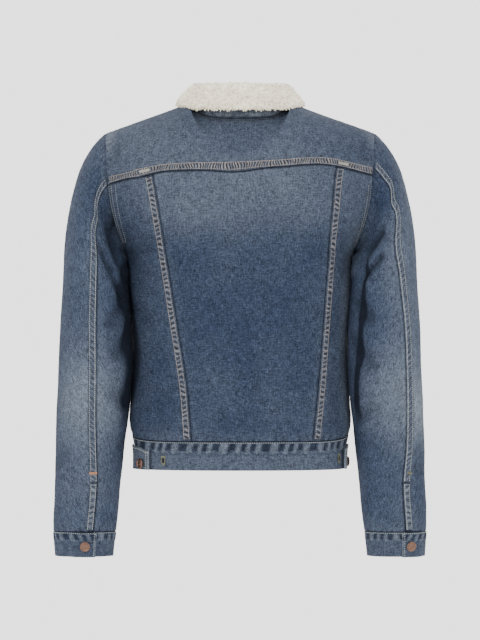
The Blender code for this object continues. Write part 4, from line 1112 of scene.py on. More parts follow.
class Grid:
    """Lattice of places on a surface, with the distances that its dressing needs."""

    def __init__(self, surface: Surface, patch: Place, across: Sequence[float], up: Sequence[float]) -> None:
        """Works out the places.

        Args:
            surface: what the sheet lies on.
            patch: surface's u and v for a share across and a share up.
            across: shares of the columns.
            up: shares of the rows.
        """
        self.across, self.up = list(across), list(up)
        self.surface = surface
        pairs = [[patch(a, b) for a in across] for b in up]
        places = [[surface.place(u, v) for u, v in row] for row in pairs]
        self.u = np.array([[u for u, _ in row] for row in pairs])
        self.v = np.array([[v for _, v in row] for row in pairs])
        self.points = np.array([[tuple(point) for point, _ in row] for row in places])
        self.normals = np.array([[tuple(normal) for _, normal in row] for row in places])
        if surface.folds is not None:
            self.points -= self.normals * surface.folds(self.u, self.points)[..., None]
        zero = np.zeros(self.u.shape)
        self.run_u, self.run_v = zero.copy(), zero.copy()
        self.run_u[:, 1:] = np.cumsum(np.linalg.norm(np.diff(self.points, axis=1), axis=2), axis=1)
        self.run_v[1:, :] = np.cumsum(np.linalg.norm(np.diff(self.points, axis=0), axis=2), axis=0)
        self.start, self.end = self.run_u, self.run_u[:, -1:] - self.run_u
        self.bottom, self.top = self.run_v, self.run_v[-1:, :] - self.run_v
        self.lift = zero.copy()
        self.wear = zero.copy()
        self.shade = zero.copy()
        self.tan = zero.copy()

    @property
    def area(self) -> float:
        """Area of the sheet in square metres.

        Returns:
            The area.
        """
        side_u = np.diff(self.points, axis=1)[:-1]
        side_v = np.diff(self.points, axis=0)[:, :-1]
        return float(np.linalg.norm(np.cross(side_u, side_v), axis=2).sum())

    @property
    def flat(self) -> tuple[float, float]:
        """Width and length of the piece's cut."""
        return float(self.run_u[:, -1].max()), float(self.run_v[-1, :].max())

    def mesh(self, name: str, thickness: float = CLOTH) -> Mesh:
        """Sheet with its raw edges turned in.

        Args:
            name: the mesh's name.
            thickness: how far the edges turn in.

        Returns:
            The mesh, with its cloth map and its wear and shade.
        """
        rows, columns = self.u.shape
        shape = bmesh.new()
        bmesh.ops.create_grid(shape, x_segments=columns - 1, y_segments=rows - 1, size=0.5)
        rim = bmesh.ops.extrude_edge_only(shape, edges=[edge for edge in shape.edges if edge.is_boundary])
        lowered = [item for item in rim["geom"] if isinstance(item, bmesh.types.BMVert)]
        bmesh.ops.translate(shape, verts=lowered, vec=(0, 0, -1))
        made = mesh_of(shape, name)
        flat = np.empty(len(made.vertices) * 3)
        made.vertices.foreach_get("co", flat)
        flat = flat.reshape(-1, 3)
        column = np.rint((flat[:, 0] + 0.5) * (columns - 1)).astype(int)
        row = np.rint((flat[:, 1] + 0.5) * (rows - 1)).astype(int)
        lift = np.where(flat[:, 2] < -0.5, -thickness, self.lift[row, column])
        spots = self.points[row, column] + self.normals[row, column] * lift[:, None]
        made.vertices.foreach_set("co", spots.ravel())
        self.map_cloth(made, row, column)
        made.update()
        centre, outward = (Vector(values[rows // 2, columns // 2]) for values in (self.points, self.normals))
        middle = min(made.polygons, key=lambda face: (face.center - centre).length)
        if middle.normal.dot(outward) < 0:
            made.flip_normals()
        made.shade_smooth()
        made.set_sharp_from_angle(angle=math.radians(60))
        return made

    def map_cloth(self, made: Mesh, row: Array, column: Array) -> None:
        """Lays the cloth map and the wear and shade on a mesh.

        Args:
            made: the mesh.
            row: each vertex's row.
            column: each vertex's column.
        """
        centre = self.run_u[row, column] - self.run_u[row, -1] / 2
        spots = np.stack([centre, self.run_v[row, column]], axis=1)
        loops = np.empty(len(made.loops), dtype=np.int32)
        made.loops.foreach_get("vertex_index", loops)
        layer = made.uv_layers.new(name="cloth")
        layer.uv.foreach_set("vector", spots[loops].astype(np.float32).ravel())
        for name, values in (("wear", self.wear), ("shade", self.shade), ("tan", self.tan)):
            store = made.attributes.new(name, "FLOAT", "POINT")
            store.data.foreach_set("value", values[row, column].astype(np.float32))

    def path(self, column: float | None = None, row: float | None = None, lift: float = 0.0) -> Lines:
        """Line along the sheet at a share across or a share up.

        Args:
            column: share across, for a line that runs up.
            row: share up, for a line that runs across.
            lift: how far above the sheet.

        Returns:
            Points and normals.
        """
        shares, share, axis = (self.across, column, 1) if column is not None else (self.up, row, 0)
        i = min(max(bisect_right(shares, share) - 1, 0), len(shares) - 2)
        w = (share - shares[i]) / (shares[i + 1] - shares[i])
        proud = self.points + self.normals * (self.lift + lift)[..., None]
        line = mix(np.take(proud, i, axis), np.take(proud, i + 1, axis), w)
        ways = mix(np.take(self.normals, i, axis), np.take(self.normals, i + 1, axis), w)
        return [(Vector(point), Vector(way).normalized()) for point, way in zip(line, ways)]


def pucker(run: Array, away: Array, length: float, reach: float, seed: int) -> Array:
    """Uneven little drawn-in folds beside a row of stitches, from 0 down to -1.

    Args:
        run: distance along the seam.
        away: distance from the seam.
        length: spacing of the folds.
        reach: how far they run out into the cloth.
        seed: shifts them.

    Returns:
        Array of heights.
    """
    beat = 2 * math.pi * run / length + 1.5 * np.sin(run * 2 * math.pi / (4.7 * length) + seed)
    uneven = 0.65 + 0.35 * np.sin(run * 2 * math.pi / (3.1 * length) + 2.1 * seed)
    far = reach * (0.75 + 0.4 * np.sin(run * 2 * math.pi / (1.9 * length) + seed))
    return -(0.5 - 0.5 * np.cos(beat)) * uneven * np.exp(-((away / far) ** 2))


def ruled(points: Lines, step: float) -> list[tuple[Vector, Vector, Vector]]:
    """Even places along a line.

    Args:
        points: points and normals of the line.
        step: spacing in metres.

    Returns:
        Place, direction and normal of each.
    """
    spots = np.array([tuple(point) for point, _ in points])
    ways = np.array([tuple(normal) for _, normal in points])
    run = np.concatenate([[0.0], np.cumsum(np.linalg.norm(np.diff(spots, axis=0), axis=1))])
    count = max(int(run[-1] / step), 1)
    wanted = (np.arange(count) + 0.5) * run[-1] / count
    place = np.stack([np.interp(wanted, run, spots[:, k]) for k in range(3)], axis=1)
    ahead = np.stack([np.interp(wanted + 0.3 * step, run, spots[:, k]) for k in range(3)], axis=1)
    behind = np.stack([np.interp(wanted - 0.3 * step, run, spots[:, k]) for k in range(3)], axis=1)
    normal = np.stack([np.interp(wanted, run, ways[:, k]) for k in range(3)], axis=1)
    found = zip(place, ahead - behind, normal)
    return [(Vector(spot), Vector(way).normalized(), Vector(up).normalized()) for spot, way, up in found]


def turned(place: Vector, along: Vector, up: Vector, size: tuple[float, float, float]) -> Matrix:
    """Matrix that lays a unit shape's X along a way and its Z near another, scaled and moved.

    Args:
        place: where it lies.
        along: the shape's X.
        up: near the shape's Z.
        size: scale along X, Y and Z.

    Returns:
        The matrix.
    """
    side = up.cross(along).normalized()
    top = along.cross(side).normalized()
    spin = Matrix((along, side, top)).transposed().to_4x4()
    return Matrix.Translation(place) @ spin @ Matrix.Diagonal((*size, 1.0))


def mesh_of(shape: bmesh.types.BMesh, name: str) -> Mesh:
    """Mesh of a shape that is no longer worked on.

    Args:
        shape: what the modelling operators made; it is freed.
        name: the mesh's name.

    Returns:
        The mesh.
    """
    made = bpy.data.meshes.new(name)
    shape.to_mesh(made)
    shape.free()
    return made


def small_shape(maker: Callable, **sizes: object) -> Mesh:
    """Mesh of a small shape that one modelling operator makes.

    Args:
        maker: the operator.
        sizes: its settings.

    Returns:
        The mesh.
    """
    shape = bmesh.new()
    maker(shape, **sizes)
    return mesh_of(shape, "small_shape")


def copies(template: Mesh, places: Sequence[Matrix], name: str) -> Mesh:
    """One mesh that holds a copy of a small shape at every place.

    Args:
        template: the small shape.
        places: a matrix for each copy.
        name: the mesh's name.

    Returns:
        The mesh.
    """
    spots = np.empty(len(template.vertices) * 3, dtype=np.float64)
    corners = np.empty(len(template.loops), dtype=np.int32)
    starts = np.empty(len(template.polygons), dtype=np.int32)
    template.vertices.foreach_get("co", spots)
    template.loops.foreach_get("vertex_index", corners)
    template.polygons.foreach_get("loop_start", starts)
    matrices = np.array([np.array(place) for place in places])
    unit = spots.reshape(-1, 3)
    laid = np.einsum("mij,nj->mni", matrices[:, :3, :3], unit) + matrices[:, None, :3, 3]
    number = np.arange(len(places), dtype=np.int32)[:, None]
    made = bpy.data.meshes.new(name)
    made.vertices.add(laid.shape[0] * laid.shape[1])
    made.loops.add(len(places) * len(corners))
    made.polygons.add(len(places) * len(starts))
    made.vertices.foreach_set("co", laid.ravel())
    made.loops.foreach_set("vertex_index", (corners[None, :] + number * len(unit)).ravel())
    made.polygons.foreach_set("loop_start", (starts[None, :] + number * len(corners)).ravel())
    made.update(calc_edges=True)
    made.shade_smooth()
    return made


def add_piece(mesh: Mesh, material: Material) -> bpy.types.Object:
    """Object in the scene that rides on the jacket and has its mesh's name.

    Args:
        mesh: its mesh.
        material: its material.

    Returns:
        The object.
    """
    made = bpy.data.objects.new(mesh.name, mesh)
    mesh.materials.append(material)
    bpy.context.scene.collection.objects.link(made)
    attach(made, BODY)
    return made


# ------------------------------------------------------------------ finishes

Input = "Shade | float"


@dataclass(eq=False)
class Shade:
    """A shader's value that adds up like a number."""

    tree: bpy.types.NodeTree
    socket: Socket

    def work(self, operation: str, first: Input, second: Input = 0.0, clamp: bool = False) -> "Shade":
        """One step of arithmetic.

        Args:
            operation: the Math node's operation.
            first: first number.
            second: second number.
            clamp: whether the result stays between 0 and 1.

        Returns:
            The result.
        """
        node = self.tree.nodes.new("ShaderNodeMath")
        node.operation = operation
        node.use_clamp = clamp
        for socket, given in zip(node.inputs, (first, second)):
            if isinstance(given, Shade):
                self.tree.links.new(given.socket, socket)
            else:
                socket.default_value = given
        return Shade(self.tree, node.outputs[0])

    def __add__(self, other: Input) -> "Shade":
        """Sum."""
        return self.work("ADD", self, other)

    def __radd__(self, other: Input) -> "Shade":
        """Sum, the other way round."""
        return self.work("ADD", other, self)

    def __sub__(self, other: Input) -> "Shade":
        """Difference."""
        return self.work("SUBTRACT", self, other)

    def __rsub__(self, other: Input) -> "Shade":
        """Difference, the other way round."""
        return self.work("SUBTRACT", other, self)

    def __mul__(self, other: Input) -> "Shade":
        """Product."""
        return self.work("MULTIPLY", self, other)

    def __rmul__(self, other: Input) -> "Shade":
        """Product, the other way round."""
        return self.work("MULTIPLY", other, self)

    def clamped(self) -> "Shade":
        """The value kept between 0 and 1."""
        return self.work("ADD", self, 0.0, clamp=True)

    def sine(self) -> "Shade":
        """Sine of the value."""
        return self.work("SINE", self)

    def step(self, low: float, high: float) -> "Shade":
        """Smooth ramp from 0 at low to 1 at high.

        Args:
            low: where it starts.
            high: where it ends.

        Returns:
            The ramp.
        """
        node = self.tree.nodes.new("ShaderNodeMapRange")
        node.interpolation_type = "SMOOTHSTEP"
        self.tree.links.new(self.socket, node.inputs["Value"])
        node.inputs["From Min"].default_value = low
        node.inputs["From Max"].default_value = high
        return Shade(self.tree, node.outputs["Result"])


Colour = tuple[float, float, float]


class Dye:
    """Node tree of one finish, wired a step at a time."""

    def __init__(self, name: str, roughness: float, metallic: float = 0.0) -> None:
        """Makes the material and its shader.

        Args:
            name: the material's name.
            roughness: the shader's roughness.
            metallic: the shader's metallic value.
        """
        self.material = bpy.data.materials.new(name)
        self.material.use_nodes = True
        self.tree = self.material.node_tree
        self.shader = self.tree.nodes["Principled BSDF"]
        self.set(self.shader, {"Roughness": roughness, "Metallic": metallic})

    def set(self, node: bpy.types.Node, inputs: dict[str, object]) -> None:
        """Links or sets a node's inputs by name.

        Args:
            node: the node.
            inputs: a value or a link for each name.
        """
        for key, given in inputs.items():
            socket = node.inputs[key]
            if isinstance(given, Shade):
                self.tree.links.new(given.socket, socket)
            elif isinstance(given, Socket):
                self.tree.links.new(given, socket)
            else:
                socket.default_value = given

    def node(self, kind: str, output: str, inputs: dict[str, object], **options: object) -> Socket:
        """Adds a node.

        Args:
            kind: the node's type.
            output: the output that is wanted.
            inputs: values or sockets by input name.
            options: the node's own settings.

        Returns:
            The output's socket.
        """
        made = self.tree.nodes.new(kind)
        for key, value in options.items():
            setattr(made, key, value)
        self.set(made, inputs)
        return made.outputs[output]

    def painted(self, name: str) -> Shade:
        """Value stored on the mesh."""
        return Shade(self.tree, self.node("ShaderNodeAttribute", "Fac", {}, attribute_name=name))

    def cloth(self, scale: Colour) -> Socket:
        """Cloth map in metres, scaled."""
        plain = self.node("ShaderNodeUVMap", "UV", {}, uv_map="cloth")
        return self.node("ShaderNodeMapping", "Vector", {"Vector": plain, "Scale": scale})

    def body(self, scale: float) -> Socket:
        """Object's own coordinates, scaled."""
        plain = self.node("ShaderNodeTexCoord", "Object", {})
        return self.node("ShaderNodeMapping", "Vector", {"Vector": plain, "Scale": (scale,) * 3})

    def grain(self, at: Socket, detail: float = 2.0, roughness: float = 0.55) -> Shade:
        """Soft noise about nothing, from -0.5 to 0.5."""
        inputs = {"Vector": at, "Scale": 1.0, "Detail": detail, "Roughness": roughness}
        return Shade(self.tree, self.node("ShaderNodeTexNoise", "Fac", inputs)) - 0.5

    def blend(self, share: Shade, first: object, second: object) -> Socket:
        """Colour between two colours.

        Args:
            share: 0 for the first and 1 for the second.
            first: colour or socket.
            second: colour or socket.

        Returns:
            The colour's socket.
        """
        made = self.tree.nodes.new("ShaderNodeMix")
        made.data_type = "RGBA"
        self.tree.links.new(share.socket, made.inputs[0])
        for socket, given in ((made.inputs[6], first), (made.inputs[7], second)):
            if isinstance(given, Socket):
                self.tree.links.new(given, socket)
            else:
                socket.default_value = (*given, 1.0)
        return made.outputs[2]

    def scaled(self, colour: Socket, gain: Shade) -> Socket:
        """Colour made lighter or darker by a value about one."""
        return self.node("ShaderNodeVectorMath", "Vector", {0: colour, "Scale": gain}, operation="SCALE")

    def bump(self, height: Shade, distance: float, strength: float = 1.0) -> None:
        """Small relief on the shader's normal."""
        inputs = {"Height": height, "Distance": distance, "Strength": strength}
        self.set(self.shader, {"Normal": self.node("ShaderNodeBump", "Normal", inputs)})


@dataclass(frozen=True)
class Denim:
    """Washed indigo denim: a steep twill whose wear shows the pale weft."""

    name: str = "washed_denim"
    deep: Colour = (0.0150, 0.0225, 0.0430)
    worn: Colour = (0.163, 0.186, 0.214)
    tan: Colour = (0.195, 0.172, 0.155)
    base: float = 0.12
    twill: float = 0.0011
    roughness: float = 0.88

    def material(self) -> Material:
        """Makes the material.

        Returns:
            The material.
        """
        dye = Dye(self.name, self.roughness)
        warp = dye.grain(dye.cloth((560, 90, 1)), 3.0)
        weft = dye.grain(dye.cloth((110, 520, 1)), 3.0)
        speckle = dye.grain(dye.body(450), 3.0, 0.65)
        mottle = dye.grain(dye.body(95), 2.0)
        cloud = dye.grain(dye.body(16), 3.0)
        turns = 2 * math.pi / self.twill
        weave = dye.cloth((turns, turns, 1))
        across, along = (
            Shade(dye.tree, dye.node("ShaderNodeSeparateXYZ", axis, {"Vector": weave})) for axis in ("X", "Y")
        )
        twill = (across + 0.5 * along).sine()
        wear = dye.painted("wear") + self.base + 0.12 * warp + 0.12 * weft + 0.14 * speckle + 0.14 * cloud
        colour = dye.blend(wear.clamped(), self.deep, self.worn)
        colour = dye.blend(dye.painted("tan").clamped(), colour, self.tan)
        # Painted shade: where the mesh stores shade, the colour darkens towards a quarter of the deep indigo.
        dark = dye.painted("shade").clamped()
        colour = dye.blend(dark, colour, tuple(0.25 * part for part in self.deep))
        gain = 1.0 + 2.4 * speckle + 1.1 * warp + 1.1 * weft + 0.7 * mottle + 0.05 * twill
        gain = gain.work("MAXIMUM", gain, 0.3)
        dye.set(dye.shader, {"Base Color": dye.scaled(colour, gain)})
        dye.bump(0.45 * twill + 1.2 * speckle + 0.8 * warp, 0.00035)
        dye.set(dye.shader, {"Specular IOR Level": 0.10})
        return dye.material


@dataclass(frozen=True)
class Fleece:
    """Short curly cream pile."""

    name: str = "cream_fleece"
    light: Colour = (0.90, 0.84, 0.655)
    dark: Colour = (0.44, 0.37, 0.26)
    curl: float = 260.0
    roughness: float = 0.95

    def material(self) -> Material:
        """Makes the material.

        Returns:
            The material.
        """
        dye = Dye(self.name, self.roughness)
        curls = dye.grain(dye.body(self.curl), 3.0, 0.6)
        cloud = dye.grain(dye.body(22), 2.0)
        share = (0.50 + 2.4 * curls + 0.8 * cloud).clamped()
        dye.set(dye.shader, {"Base Color": dye.blend(share, self.dark, self.light)})
        dye.bump(curls, 0.0028)
        dye.set(dye.shader, {"Sheen Weight": 0.35, "Sheen Roughness": 0.6})
        return dye.material


@dataclass(frozen=True)
class Thread:
    """Twisted sewing thread, faded in places."""

    name: str
    light: Colour
    dark: Colour
    roughness: float = 0.7

    def material(self) -> Material:
        """Makes the material.

        Returns:
            The material.
        """
        dye = Dye(self.name, self.roughness)
        patches = dye.grain(dye.body(60), 2.0)
        ply = dye.grain(dye.body(2600), 1.0)
        share = (0.5 + 1.6 * patches + 0.5 * ply).clamped()
        dye.set(dye.shader, {"Base Color": dye.blend(share, self.dark, self.light)})
        dye.bump(ply, 0.0002)
        return dye.material


@dataclass(frozen=True)
class Copper:
    """Worn copper of the shank buttons."""

    name: str = "aged_copper"
    bright: Colour = (0.170, 0.100, 0.074)
    dull: Colour = (0.040, 0.024, 0.019)
    roughness: float = 0.42

    def material(self) -> Material:
        """Makes the material.

        Returns:
            The material.
        """
        dye = Dye(self.name, self.roughness, 1.0)
        tarnish = dye.grain(dye.body(420), 4.0, 0.65)
        share = (0.6 + 1.4 * tarnish).clamped()
        dye.set(dye.shader, {"Base Color": dye.blend(share, self.dull, self.bright)})
        dye.bump(tarnish, 0.0002, 0.6)
        return dye.material


Recipe = Denim | Fleece | Thread | Copper


def made_of(recipe: Recipe) -> Field:
    """Field whose material is made together with the finishes."""
    return field(default_factory=recipe.material)


@dataclass
class Finishes:
    """The materials that the pieces share."""

    denim: Material = made_of(Denim())
    fleece: Material = made_of(Fleece())
    lining: Material = made_of(Fleece(name="fleece_side", curl=200.0))
    thread: Material = made_of(Thread("tan_thread", (0.30, 0.24, 0.205), (0.11, 0.10, 0.10)))
    faded_thread: Material = made_of(Thread("faded_thread", (0.25, 0.24, 0.205), (0.12, 0.12, 0.11)))
    grey_thread: Material = made_of(Thread("grey_thread", (0.190, 0.200, 0.200), (0.090, 0.105, 0.120)))
    deep_thread: Material = made_of(Thread("deep_thread", (0.085, 0.095, 0.110), (0.020, 0.026, 0.036)))
    pale_thread: Material = made_of(Thread("pale_thread", (0.33, 0.33, 0.29), (0.15, 0.17, 0.18)))
    rust_thread: Material = made_of(Thread("rust_thread", (0.34, 0.15, 0.07), (0.18, 0.09, 0.05)))
    olive_thread: Material = made_of(Thread("olive_thread", (0.12, 0.11, 0.055), (0.04, 0.045, 0.03)))
    copper: Material = made_of(Copper())


# ------------------------------------------------------------------ sewing


@dataclass
class Stitching:
    """Stitches of one sub-assembly, gathered into one mesh."""

    name: str
    length: float = 0.0026
    pitch: float = 0.0034
    thickness: float = 0.00045
    row_lift: float = 0.0002
    tack_lift: float = 0.0003
    tack_pitch: float = 0.0008
    tack_thickness: float = 0.00055
    ring_count: int = 44
    ring_thickness: float = 0.0006
    places: list[Matrix] = field(default_factory=list)

    def stitch(self, place: Vector, along: Vector, normal: Vector, length: float, thickness: float) -> None:
        """Adds one stitch, a little cigar of thread."""
        self.places.append(turned(place, along, normal, (length / 2, thickness, thickness)))

    def run(self, line: Lines, sunk: float = 0.0) -> None:
        """Adds a row of stitches along a line.

        Args:
            line: points and normals.
            sunk: how deep the stitches lie in the cloth.
        """
        for place, along, normal in ruled(line, self.pitch):
            lifted = place + normal * (self.row_lift - sunk)
            self.stitch(lifted, along, normal, self.length, self.thickness)

    def tack(self, centre: Vector, along: Vector, normal: Vector, size: tuple[float, float]) -> None:
        """Adds a bartack: close stitches side by side.

        Args:
            centre: its middle.
            along: the way it runs.
            normal: the cloth's normal.
            size: its length and width.
        """
        across = normal.cross(along).normalized()
        count = max(int(size[0] / self.tack_pitch), 3)
        for n in range(count):
            place = centre + along * (size[0] * ((n + 0.5) / count - 0.5)) + normal * self.tack_lift
            self.stitch(place, across, normal, size[1], self.tack_thickness)

    def buttonhole(self, centre: Vector, along: Vector, normal: Vector, size: tuple[float, float]) -> None:
        """Adds the ring of stitches round a buttonhole.

        Args:
            centre: its middle.
            along: the way it runs.
            normal: the cloth's normal.
            size: its length and width.
        """
        across = normal.cross(along).normalized()
        straight = (size[0] - size[1]) / 2
        for n in range(self.ring_count):
            turn = 2 * math.pi * n / self.ring_count
            cosine = math.cos(turn)
            out = along * cosine + across * math.sin(turn)
            place = centre + along * math.copysign(straight, cosine) * min(abs(cosine) * 2.5, 1)
            place += out * size[1] * 0.36 + normal * self.tack_lift
            self.stitch(place, out, normal, size[1] * 0.42, self.ring_thickness)

    def finish(self, material: Material) -> None:
        """Turns the stitches into a piece.

        Args:
            material: the thread.
        """
        cigar = small_shape(bmesh.ops.create_uvsphere, u_segments=6, v_segments=4, radius=1.0)
        add_piece(copies(cigar, self.places, self.name), material)
        log.info("%s: %d stitches", self.name, len(self.places))


# ------------------------------------------------------------------ cut pieces


@dataclass
class Panel:
    """One cut piece of denim with the fleece side behind it."""

    node: str
    surface: Surface
    patch: Place
    rests_on: str
    raw: tuple[str, ...] = ()
    puckers: dict[str, float] = field(default_factory=dict)
    shadows: dict[str, float] = field(default_factory=dict)
    rise: Callable[[Grid], Array] | None = None
    dress: Callable[[Grid], None] | None = None
    step: float = 0.0028
    tucked: float = 0.0
    swell: float = 0.0005
    swell_sizes: tuple[float, float] = (0.050, 0.019)
    pucker_length: float = 0.0105
    pucker_reach: float = 0.011
    shadow_place: float = 0.0066
    shadow_width: float = 0.0014
    turn_share: float = 0.06
    lining_step: float = 0.0100
    lining_inset: float = 0.0130
    lining_share: float = 0.12

    def lattice(self, step: float, edges: Sequence[float] = EDGE_PLACES, inset: float = 0.0) -> Grid:
        """Grid of this panel.

        Args:
            step: spacing of the places.
            edges: finer places along the edges.
            inset: how far the grid stands back from the panel's edges.

        Returns:
            The grid.
        """
        rough = Grid(self.surface, self.patch, even(8), even(8))
        width, length = rough.flat
        in_a, in_b = inset / width, inset / length
        columns = [mix(in_a, 1 - in_a, a) for a in stations(width, step, edges)]
        rows = [mix(in_b, 1 - in_b, b) for b in stations(length, step, edges)]
        return Grid(self.surface, self.patch, columns, rows)

    def edges(self, grid: Grid) -> None:
        """Rounds the edges off, draws the cloth in beside its seams with painted shade in the puckers, paints
        the panel's listed shadow lines beside its seam strips, and turns the allowances in.

        Args:
            grid: the panel's grid.
        """
        away = {"start": grid.start, "end": grid.end, "bottom": grid.bottom, "top": grid.top}
        for number, (name, distance) in enumerate(away.items()):
            shape = RAW_EDGE if name in self.raw else SEWN_EDGE
            near = np.clip(1 - distance / shape.radius, 0, 1)
            grid.lift -= shape.drop * (1 - np.sqrt(np.clip(1 - near**2, 0, 1)))
            depth = self.puckers.get(name, 0.0)
            if depth:
                along = grid.run_v if name in ("start", "end") else grid.run_u
                seed = number + len(self.node)
                folds = pucker(along, distance, self.pucker_length, self.pucker_reach, seed)
                grid.lift += depth * folds
                grid.wear += 0.07 * (1 + folds) * bell(distance, 0.012) - 0.02
                # Painted shade in the troughs of the puckers.
                grid.shade -= 0.25 * folds * bell(distance, 0.010)
            # Painted shadow line beside the seam strip, where the panel lists one.
            grid.shade += self.shadows.get(name, 0.0) * bell(distance - self.shadow_place, self.shadow_width)
            if not (self.tucked and name == "bottom"):
                turned_in = min(shape.turned_in, self.turn_share * min(grid.flat))
                grid.lift -= np.where(distance < 1e-6, turned_in, 0.0)

    def build(self, finishes: Finishes) -> Grid:
        """Makes the sheet and its fleece side.

        Args:
            finishes: the shared materials.

        Returns:
            The sheet's grid.
        """
        grid = self.lattice(self.step * (1.0))
        if self.rise is not None:
            grid.points += grid.normals * self.rise(grid)[..., None]
        for share, size, seed in zip((1.0, 0.4), self.swell_sizes, (3, 4)):
            grid.lift += share * self.swell * waves(grid.points, size, seed)
        self.edges(grid)
        if self.tucked:
            grid.points[0, :, 0] -= self.tucked * np.sign(grid.points[0, :, 0])
        if self.dress is not None:
            self.dress(grid)
        piece = add_piece(grid.mesh("denim_" + self.node), finishes.denim)
        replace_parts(piece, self.node)
        inset = min(self.lining_inset, self.lining_share * min(grid.flat))
        inner = self.lattice(self.lining_step, (0.001,), inset)
        if self.rise is not None:
            inner.points += inner.normals * self.rise(inner)[..., None]
        inner.lift[...] = -CLOTH
        back = inner.mesh("lining_" + self.node, CLOTH + 0.0002)
        back.flip_normals()
        under = add_piece(back, finishes.lining)
        for made, lattice in ((piece, grid), (under, inner)):
            lattice.flat
            share_of(lattice)
        log.info("%s: %d faces", piece.name, len(piece.data.polygons))
        return grid


def share_of(grid: Grid) -> float:
    """Flat area of a cut, kept within what its width and length allow."""
    width, length = grid.flat
    return min(max(grid.area, 0.31 * width * length), width * length)


def faded(grid: Grid, rows: Sequence[Fade], where: Face | Side, away: Callable[[float], Array]) -> None:
    """Lays the faded patches of one face or sleeve on a panel.

    Args:
        grid: the panel's grid.
        rows: the patches.
        where: the face or the sleeve.
        away: distances across from a patch's middle.
    """
    z = grid.points[..., 2]
    for row in rows:
        if row.where is where:
            far = (away(row.middle) / row.half_width) ** 2 + ((z - row.z) / row.half_height) ** 2
            grid.wear += row.strength * bell(far, 1, FADE_POWER)


def body_wear_and_shade(grid: Grid, face: Face) -> None:
    """Lays the body's faded patches on a panel, one of them painted light, the painted shade that the left
    sleeve throws on the body's side, and the painted shade in its folds.

    Args:
        grid: the panel's grid.
        face: back or front.
    """
    x, z = grid.points[..., 0], grid.points[..., 2]
    faded(grid, BODY_FADES_AND_LIGHT, face, lambda middle: x - middle)
    edge = np.interp(z, [row.z for row in SHADY_SIDE], [row.x for row in SHADY_SIDE])
    zone = smooth_step((z + 0.50) / 0.03) * smooth_step((-0.24 - z) / 0.02)
    # Painted shade on the body's left side, where the left sleeve shades it.
    grid.shade += 0.80 * smooth_step((x - edge) / 0.006) * zone
    creases(grid, 100.0)


def sleeve_wear_and_shade(grid: Grid, side: Side) -> None:
    """Lays a sleeve's faded patches on a panel, the painted shade on its inner side, and the painted shade in
    its folds.

    Args:
        grid: the panel's grid.
        side: which sleeve.
    """
    z = grid.points[..., 2]
    faded(grid, SLEEVE_FADES, side, partial(turned_away, grid.u))
    middle, half = (np.interp(z, *zip(*run)) for run in SHADY_SLEEVES[side])
    uneven = 1 + 0.25 * waves(grid.points, 0.06, 12)
    zone = smooth_step((-0.215 - z) / 0.03) * smooth_step((z + 0.50) / 0.06)
    # Painted shade on the sleeve's inner side, next to the body.
    grid.shade += 1.15 * zone * bell(turned_away(grid.u, middle), half * uneven, 4)
    creases(grid, 130.0)


def turned_away(angle: Array, middle: Array | float) -> Array:
    """Degrees from a middle to an angle, the short way round."""
    return (angle - middle + 180) % 360 - 180


def creases(grid: Grid, strength: float) -> None:
    """Paints shade in a panel's folds, and wears the bulges between them.

    Args:
        grid: the panel's grid.
        strength: painted shade for each metre of depth.
    """
    if grid.surface.folds is not None:
        depth = grid.surface.folds(grid.u, grid.points)
        # Painted shade in the folds.
        grid.shade += strength * np.clip(depth - 0.0008, 0, None)
        grid.wear += 14.0 * np.clip(-depth, 0, None)


def lap_under(grid: Grid) -> Array:
    """Sinks the right front and its waistband where they run under the button band."""
    return -LAP_DROP * smooth_step((grid.points[..., 0] - LAP_START_X) / LAP_RAMP)


def on_panel(surface: Surface, u: float, v: float) -> tuple[Vector, Vector]:
    """Place just on a body panel.

    Args:
        surface: back or front.
        u: place across.
        v: height share.

    Returns:
        Point and outward normal.
    """
    point, normal = surface.place(u, v)
    depth = float(surface.folds(np.array(u), np.array(point)))
    return point + normal * (0.0002 - depth), normal


def armhole_row(surface: Surface, side: Side, inset: float, reach: float) -> Lines:
    """Line up the body's side of an armhole, from above the underarm.

    Args:
        surface: back or front.
        side: which armhole.
        inset: how far in from the edge it runs.
        reach: height share at which it ends.

    Returns:
        Points and normals.
    """
    top = YOKE_SHARE if surface is BACK else CHEST_SHARE
    start = FORM.band_top(1)
    end = FORM.shoulder_start_z(1) if surface is BACK else CHEST_Z
    underarm = top * (UNDERARM_Z - start) / (end - start)
    line = []
    for v in even(90, underarm + 0.030, reach):
        t = 1 - inset / surface.slopes(1.0, v)[0].length
        line.append(on_panel(surface, side.value * t, v))
    return line


